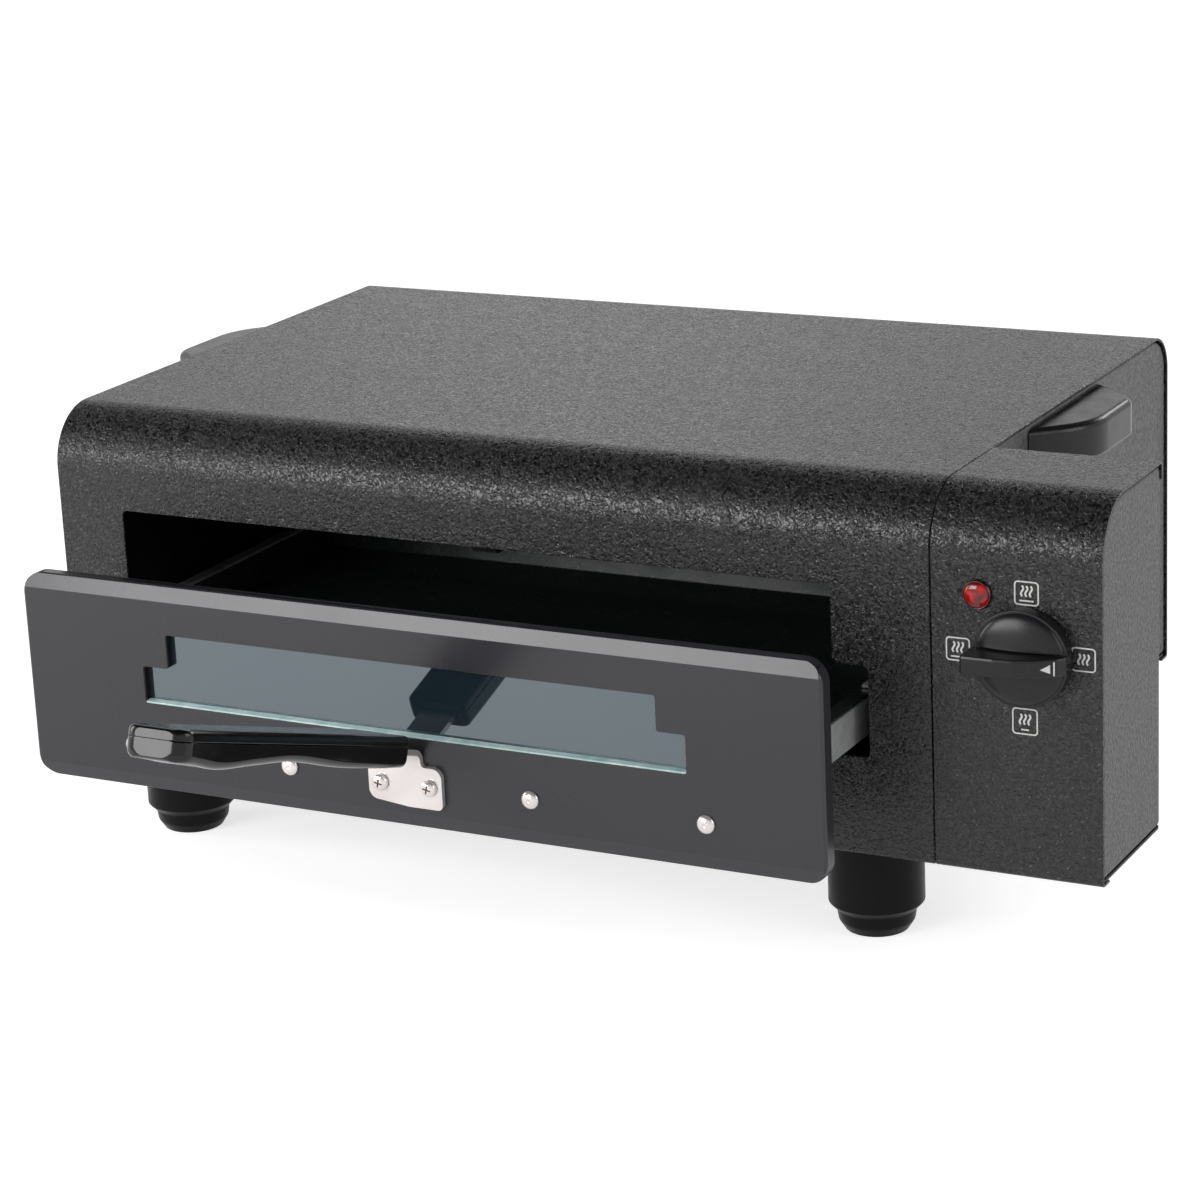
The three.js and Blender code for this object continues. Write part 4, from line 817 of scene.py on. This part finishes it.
def tray_dish():
    low, high = 53.8, 66.8
    profile = [
        (12.2, low), (11.4, low + 0.2), (10.9, low + 0.8), (7.2, high - 1.9), (6.6, high - 1),
        (0.5, high - 1), (0.1, high - 0.7), (0.1, high - 0.3), (0.5, high), (6.9, high),
        (7.9, high - 0.4), (8.4, high - 1.3), (12.1, low + 1.7), (12.7, low + 1.1), (13.6, low + 1),
    ]
    return skin([tray_ring(inset, z) for inset, z in profile])


on_drawer("tray_dish", tray_dish(), "tray_enamel", ["drip_tray"])


# Handle

TILT = math.radians(19)
GRIP_LENGTH, GRIP_WIDTH, GRIP_THICKNESS = 175, 29.5, 15.5
TOP_THICKNESS, TIP_ROUND, EDGE, BELLY = 4.6, 7, 2.4, 3.6
GRIP_TOP = GRIP_THICKNESS / 2
GRIP_SEAM = GRIP_TOP - TOP_THICKNESS
NECK_WIDTH, NECK_Z, TONGUE, STAND_OFF = 17, 41.47, 110, 20
DEPTH_SHARES = (
    (0, .9), (.12, .93), (.3, .92), (.52, .78), (.68, .88), (.83, 1), (.93, .9), (1, .84),
)


def depth_share(along):
    """The depth of the grip's wavy underside, on a smooth curve through its shares."""
    last = len(DEPTH_SHARES) - 1
    i = next(k for k in range(last) if along <= DEPTH_SHARES[k + 1][0])
    start, end = DEPTH_SHARES[i][0], DEPTH_SHARES[i + 1][0]
    t = (along - start) / (end - start)
    a, b, c, d = (DEPTH_SHARES[min(max(i + k, 0), last)][1] for k in (-1, 0, 1, 2))
    return b + 0.5 * t * (c - a + t * (2 * a - 5 * b + 4 * c - d + t * (3 * (b - c) + d - a)))


def grip_half(seam, back_at, radius):
    def drawn_in(from_end, r):
        return r - math.sqrt(r * r - (r - from_end) ** 2) if from_end < r else 0

    ends = [1 - math.cos(math.pi / 2 * k / 8) for k in range(9)]
    near = [e * EDGE for e in ends]
    tip = [GRIP_LENGTH - e * TIP_ROUND for e in ends][::-1]
    span = GRIP_LENGTH - TIP_ROUND - EDGE
    middle = [EDGE + span * (i + 1) / 60 for i in range(59)]
    rings = []
    for distance in near + middle + tip:
        half = GRIP_WIDTH / 2 - drawn_in(distance, EDGE)
        half -= drawn_in(GRIP_LENGTH - distance, TIP_ROUND)
        level = back_at(distance)
        outline = filleted([
            (-half, seam, 0.4), (half, seam, 0.4),
            (half - 0.2, level, radius), (-half + 0.2, level, radius),
        ], steps=8)
        rings.append([(p.x, -distance, p.y) for p in outline])
    return skin(rings)


def end_drop(distance):
    from_end = min(distance, GRIP_LENGTH - distance)
    return 1.2 * (max(EDGE - from_end, 0) / EDGE) ** 2


def grip_upper():
    return grip_half(GRIP_SEAM, lambda d: GRIP_TOP - end_drop(d), EDGE)


def underside(distance):
    return GRIP_TOP - GRIP_THICKNESS * depth_share(distance / GRIP_LENGTH) + end_drop(distance)


def grip_lower():
    half, seat = NECK_WIDTH / 2 + SEAT, BRACKET_SHEET / 2 + SEAT
    slot = block(-half, -TONGUE - 2 * SEAT, -seat, half, OVERRUN, GRIP_SEAM + OVERRUN)
    return cut(grip_half(GRIP_SEAM - SEAT, underside, BELLY), slot)


BRACKET_TOP, BRACKET_SHOULDER = 35.97, 1.9


def bracket_plate():
    half, low, high, neck, shoulder = 18.5, 16.97, BRACKET_TOP, NECK_WIDTH / 2, BRACKET_SHOULDER
    return slab(filleted([
        (-half, low + 2.2, 4.5), (-half + 20, low, 14), (half, low, 2.6), (half, high, 4.5),
        (neck, high, shoulder), (neck, high + shoulder),
        (-neck, high + shoulder), (-neck, high, shoulder), (-half, high, 4.5),
    ]), "y", BRACKET_FACE, BRACKET_FACE + BRACKET_SHEET)


def bracket_neck():
    reach = STAND_OFF + TONGUE
    section = folded([
        (BRACKET_FACE, BRACKET_TOP + BRACKET_SHOULDER), (BRACKET_FACE, NECK_Z, 5),
        (BRACKET_FACE - reach * math.cos(TILT), NECK_Z + reach * math.sin(TILT)),
    ], BRACKET_SHEET, steps=12)
    return slab(section, "x", -NECK_WIDTH / 2, NECK_WIDTH / 2)


RISE = BRACKET_SHEET / 2
grip_turn = Matrix.Rotation(-TILT, 4, "X")
grip_place = (
    0,
    BRACKET_FACE - STAND_OFF * math.cos(TILT) + RISE * math.sin(TILT),
    NECK_Z + STAND_OFF * math.sin(TILT) + RISE * math.cos(TILT),
)
for maker in (grip_upper, grip_lower):
    name = maker.__name__
    form = moved(maker(), *grip_place, grip_turn)
    on_drawer(name, form, "bakelite", [f"handle_{name}"], sharp=50)
on_drawer("bracket_plate", bracket_plate(), "polished_steel", ["handle_bracket"])
on_drawer("bracket_neck", bracket_neck(), "polished_steel", ["handle_bracket"])


# Control box

SHAFT_HOLE, LAMP_HOLE = 6, 5.3


def control_skin():
    section = folded([
        (HEM, 0), (0, 0, HEM_BEND), (0, CASING_HEIGHT, FRONT_BEND),
        (CONTROL_DEPTH, CASING_HEIGHT, HEM_BEND), (CONTROL_DEPTH, CASING_HEIGHT - HEM),
    ], SHEET)
    return cut(
        slab(section, "x", CONTROL_LEFT, CONTROL_RIGHT),
        slab(circle(*KNOB_AT, SHAFT_HOLE), "y", -OVERRUN, OVERRUN),
        slab(circle(*LAMP_AT, LAMP_HOLE), "y", -OVERRUN, OVERRUN),
    )


piece("control_skin", control_skin(), "powder_coat", ["control_wrap"], bevel=0.28)
control_face = CONTROL_RIGHT - RECESS / 2
piece(
    "control_cheek", dished_panel(CONTROL_DEPTH, 0, control_face - CONTROL_FLANGE, control_face),
    "side_paint", ["control_side_panel"],
)


# Heat selector

KNOB_RADIUS, SKIRT, RIM_ROUND = 21, 8.5, 1.6
BAR_WIDTH, BAR_HEIGHT, BAR_FALL = 8, 21.2, 8.6
BAR_CREST = ((0.88, 1), (0.5, 0.38), (0.1, 0.08), (-0.3, 0))
CHEEK_RADIUS, CHEEK_RISE, TRENCH = 19.8, 4.4, 0.8


def knob_cap():
    half, low = BAR_WIDTH / 2, SKIRT - 2
    rim = filleted([
        (0, SEAT), (KNOB_RADIUS, SEAT, 0.3), (KNOB_RADIUS, low, 0.5), (CHEEK_RADIUS, low),
    ], closed=False, steps=6)
    domed = [
        (CHEEK_RADIUS * math.cos(t), low + CHEEK_RISE * math.sin(t))
        for t in (math.pi / 2 * k / 24 for k in range(1, 25))
    ]
    skirt = turned([(p.x, p.y) for p in rim] + domed, 120, to_front=True)
    trenches = [
        block(-CHEEK_RADIUS, -SKIRT - OVERRUN, middle - TRENCH, CHEEK_RADIUS, -low, middle + TRENCH)
        for middle in (half, -half)
    ]
    skirt = cut(skirt, *trenches)
    crest = [(KNOB_RADIUS * along, BAR_FALL * fall - BAR_HEIGHT, 12) for along, fall in BAR_CREST]
    outline = filleted([
        (-KNOB_RADIUS, -SEAT), (KNOB_RADIUS, -SEAT), (KNOB_RADIUS, -SKIRT, 0.4),
        (*crest[0][:2], 1.2), *crest[1:], (-KNOB_RADIUS, -BAR_HEIGHT, RIM_ROUND),
    ], steps=10)
    edge = [(1, half), (0.55, half - 0.07), (0.24, half - 0.25), (0, half - 1.1)]
    stations = [(inset, -z) for inset, z in edge] + edge[::-1]
    bar = skin([
        [(p.x, p.y, z) for p in (shrunk(outline, inset) if inset > 0 else outline)]
        for inset, z in stations
    ])
    socket = turned([(0, 0), (3.3, 0), (3.3, 9.3), (0, 9.3)], 48, to_front=True)
    return cut(join(skirt, bar), socket)


def on_knob(name, bm, finish, nodes, **options):
    at = (KNOB_AT[0], 0, KNOB_AT[1])
    return piece(name, bm, finish, nodes, body="selector", at=at, **options)


on_knob("knob_cap", knob_cap(), "satin_bakelite", ["selector_knob"], slot="bakelite", sharp=12)


# Pilot lamp

def lamp_ring():
    return turned([(p.x, p.y) for p in filleted([
        (5.6, SEAT), (6.4, SEAT, 0.15), (6.4, 1.1, 0.5), (5.95, 1.7, 0.3), (5.6, 1.6, 0.15),
        (5.6, SEAT),
    ], closed=False, steps=5)], 72, to_front=True)


def lamp_dome():
    edge, base, rise = 5.55, 1, 1.9
    profile = [(0, -1.5), (3.9, -1.5), (3.9, SEAT), (edge, SEAT), (edge, base)]
    profile += [
        (edge * math.cos(t), base + rise * math.sin(t))
        for t in (math.pi / 2 * k / 16 for k in range(1, 17))
    ]
    return turned(profile, 72, to_front=True)


LAMP_PLACE = (LAMP_AT[0], 0, LAMP_AT[1])
piece("lamp_ring", lamp_ring(), "lamp_metal", ["lamp_bezel"], slot="polished_steel", at=LAMP_PLACE)
piece("lamp_dome", lamp_dome(), "red_lens", ["lamp_lens"], at=LAMP_PLACE)


# Printed marks

def ribbon(points, width, y0, y1, closed=False):
    """A flat line of a given width through points (x, z)."""
    points = [Vector(p) for p in points]
    left = beside(points, -width / 2, closed)
    right = beside(points, width / 2, closed)
    bm = bmesh.new()
    rows = []
    for a, b in zip(left, right):
        rows.append([bm.verts.new((p.x, y, p.y)) for p, y in ((a, y0), (b, y0), (b, y1), (a, y1))])
    pairs = list(zip(rows, rows[1:]))
    if closed:
        pairs.append((rows[-1], rows[0]))
    for near, far in pairs:
        for i in range(4):
            bm.faces.new((near[i - 1], near[i], far[i], far[i - 1]))
    if not closed:
        bm.faces.new(rows[0])
        bm.faces.new(rows[-1][::-1])
    bmesh.ops.recalc_face_normals(bm, faces=bm.faces)
    return bm


def merged(parts):
    whole = bmesh.new()
    for part in parts:
        mesh = bpy.data.meshes.new("scratch")
        part.to_mesh(mesh)
        part.free()
        whole.from_mesh(mesh)
        bpy.data.meshes.remove(mesh)
    return whole


def heat_mark(width, height, base):
    """Three waves of heat in a frame, over a line of length base or none."""
    ink = (-0.06, 0.02)  # from in front of the coat to just under it
    frame_line = filleted(rectangle(-width / 2, -height / 2, width / 2, height / 2, 1.4), steps=6)
    parts = [ribbon(frame_line, 0.6, *ink, closed=True)]
    rise = 0.9 if base > 0 else 0.1
    for x in (-1.9, 0, 1.9):
        wave = [
            (x + 0.5 * math.sin(2 * math.pi * t / 16), rise + 2.3 - 4.6 * t / 16) for t in range(17)
        ]
        parts.append(ribbon(wave, 0.8, *ink))
    if base > 0:
        line = -height * 0.33
        parts.append(ribbon([(-base / 2, line), (base / 2, line)], 0.65, *ink))
    return merged(parts)


for name, x, z, width, height, base in (
    ("top", 483, 124.9, 10.2, 9.8, 6.2), ("left", 452.5, 97.7, 10.2, 9.8, 6.2),
    ("right", 507.5, 99, 10, 9.8, 0), ("bottom", 481.8, 69.4, 10.7, 11, 3.4),
):
    piece(
        f"heat_mark_{name}", heat_mark(width, height, base), "white_print", slot="powder_coat",
        at=(x, 0, z),
    )


def dial_marker():
    """A line and an arrow on the falling end of the knob's bar."""
    low, high = (
        Vector((KNOB_RADIUS * along, BAR_FALL * fall - BAR_HEIGHT)) for along, fall in BAR_CREST[:2]
    )
    ink = (-0.06, 0.4)
    line = ribbon([(8.4, -3), (8.4, 3)], 0.6, *ink)
    arrow = slab([Vector(p) for p in ((2.6, 0), (6.8, 1.9), (6.8, -1.9))], "y", *ink)
    fall = math.atan2(low.y - high.y, low.x - high.x)
    return moved(merged([line, arrow]), high.x, high.y, 0, Matrix.Rotation(fall, 4, "Z"))


on_knob("dial_marker", dial_marker(), "white_print", [], slot="bakelite")


# The solids that stay keep their shapes and take the same finishes

replaced = {
    "casing_wrap", "side_panel_left", "side_panel_right", "carry_handle_right", "carry_handle_left",
    "drawer_front", "window_glass", "drip_tray", "handle_grip_upper", "handle_grip_lower",
    "handle_bracket", "control_wrap", "control_side_panel", "selector_knob", "lamp_bezel",
    "lamp_lens",
    *(f"front_rivet_{i}" for i in (1, 2, 3, 4)), *(f"bracket_screw_{i}" for i in (1, 2)),
    *(f"foot_{end}_{side}" for end in ("front", "rear") for side in ("left", "right")),
}
for name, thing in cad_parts.items():
    if name in replaced:
        continue
    for holder in thing.material_slots:
        holder.material = finishes[holder.material.name.split(".")[0]]


# Camera

CAMERA_ANGLES = (28.294, 17.02, -2.691)  # azimuth, elevation and roll, in degrees
CAMERA_PLACE = (990.711, -1310.562, 557.584)
CAMERA_LENS = 107.227


def place_camera():
    azimuth, elevation, roll = (math.radians(angle) for angle in CAMERA_ANGLES)
    flat = math.cos(elevation)
    back = Vector((math.sin(azimuth) * flat, -math.cos(azimuth) * flat, math.sin(elevation)))
    level = Vector((math.cos(azimuth), math.sin(azimuth), 0))
    upright = back.cross(level)
    right = level * math.cos(roll) + upright * math.sin(roll)
    up = upright * math.cos(roll) - level * math.sin(roll)
    data = bpy.data.cameras.new("camera")
    data.lens = CAMERA_LENS
    data.sensor_width = 36
    data.clip_end = 100
    camera = bpy.data.objects.new("camera", data)
    turn = Matrix((right, up, back)).transposed().to_4x4()
    camera.matrix_world = Matrix.Translation(ORIGIN + Vector(CAMERA_PLACE) * MM) @ turn
    bpy.context.collection.objects.link(camera)
    bpy.context.scene.camera = camera


# Studio

def ranged(nodes, links, value, **ends):
    """A Map Range node's result; its ends are numbers or sockets."""
    node = nodes.new("ShaderNodeMapRange")
    links.new(value, node.inputs["Value"])
    for name, end in ends.items():
        socket = node.inputs[name.replace("_", " ")]
        if isinstance(end, bpy.types.NodeSocket):
            links.new(end, socket)
        else:
            socket.default_value = end
    return node.outputs["Result"]


def by_ray(nodes, links, camera, gloss, other):
    """A strength for rays from the camera, one for glossy rays and one for the rest."""
    path = nodes.new("ShaderNodeLightPath").outputs
    inner = ranged(nodes, links, path["Is Glossy Ray"], To_Min=other, To_Max=gloss)
    return ranged(nodes, links, path["Is Camera Ray"], To_Min=inner, To_Max=camera)


def build_floor():
    half = 12
    mesh = bpy.data.meshes.new("floor")
    z = CAD_BOX[0][2]
    corners = [(-half, -half, z), (half, -half, z), (half, half, z), (-half, half, z)]
    mesh.from_pydata(corners, [], [(0, 1, 2, 3)])
    material = bpy.data.materials.new("floor")
    material.use_nodes = True
    nodes, links = material.node_tree.nodes, material.node_tree.links
    shader = nodes["Principled BSDF"]
    shader.inputs["Base Color"].default_value = (0.7, 0.7, 0.7, 1)
    shader.inputs["Roughness"].default_value = 0.9
    shader.inputs["Specular IOR Level"].default_value = 0.1
    glow = nodes.new("ShaderNodeEmission")
    glow.inputs["Color"].default_value = (1, 1, 1, 1)
    links.new(by_ray(nodes, links, 0.72, 0.6, 0), glow.inputs["Strength"])
    total = nodes.new("ShaderNodeAddShader")
    links.new(shader.outputs[0], total.inputs[0])
    links.new(glow.outputs[0], total.inputs[1])
    links.new(total.outputs[0], nodes["Material Output"].inputs["Surface"])
    mesh.materials.append(material)
    floor = bpy.data.objects.new("floor", mesh)
    bpy.context.collection.objects.link(floor)


# What glossy rays see of the world, by the height of their direction: bright low down, dark above
GLOSSY_WORLD = {"From_Min": 0.3, "From_Max": 0.65, "To_Min": 0.95, "To_Max": 0}


def build_world():
    world = bpy.data.worlds.new("studio")
    bpy.context.scene.world = world
    world.use_nodes = True
    nodes, links = world.node_tree.nodes, world.node_tree.links
    background = nodes["Background"]
    background.inputs["Color"].default_value = (1, 1, 1, 1)
    coordinates = nodes.new("ShaderNodeTexCoord")
    height = nodes.new("ShaderNodeSeparateXYZ")
    links.new(coordinates.outputs["Generated"], height.inputs[0])
    gloss = ranged(nodes, links, height.outputs["Z"], **GLOSSY_WORLD)
    links.new(by_ray(nodes, links, 1, gloss, 0.4), background.inputs["Strength"])


def area_light(name, place, target, size, power):
    data = bpy.data.lights.new(name, "AREA")
    data.shape = "RECTANGLE"
    data.size, data.size_y = size
    data.energy = power
    light = bpy.data.objects.new(name, data)
    light.location = place
    aim = Vector(target) - Vector(place)
    light.rotation_euler = aim.to_track_quat("-Z", "Y").to_euler()
    bpy.context.collection.objects.link(light)


place_camera()
build_floor()
build_world()
area_light("front", (-0.73, -1.45, 0.62), (0, 0, 0.15), (1.0, 0.6), 16)
area_light("rim", (0.6, 1.65, 1.0), (0, 0, 0.1), (0.6, 0.3), 5)
area_light("back", (-0.95, 1.75, 0.78), (0, 0.1, 0.2), (0.5, 0.2), 0.45)
area_light("left", (-1.7, -0.5, 0.6), (0, 0, 0.1), (0.4, 0.8), 6)
area_light("right", (1.6, -0.1, 0.8), (0, 0, 0.05), (0.9, 0.9), 8)

bpy.context.scene.view_settings.view_transform = "Standard"
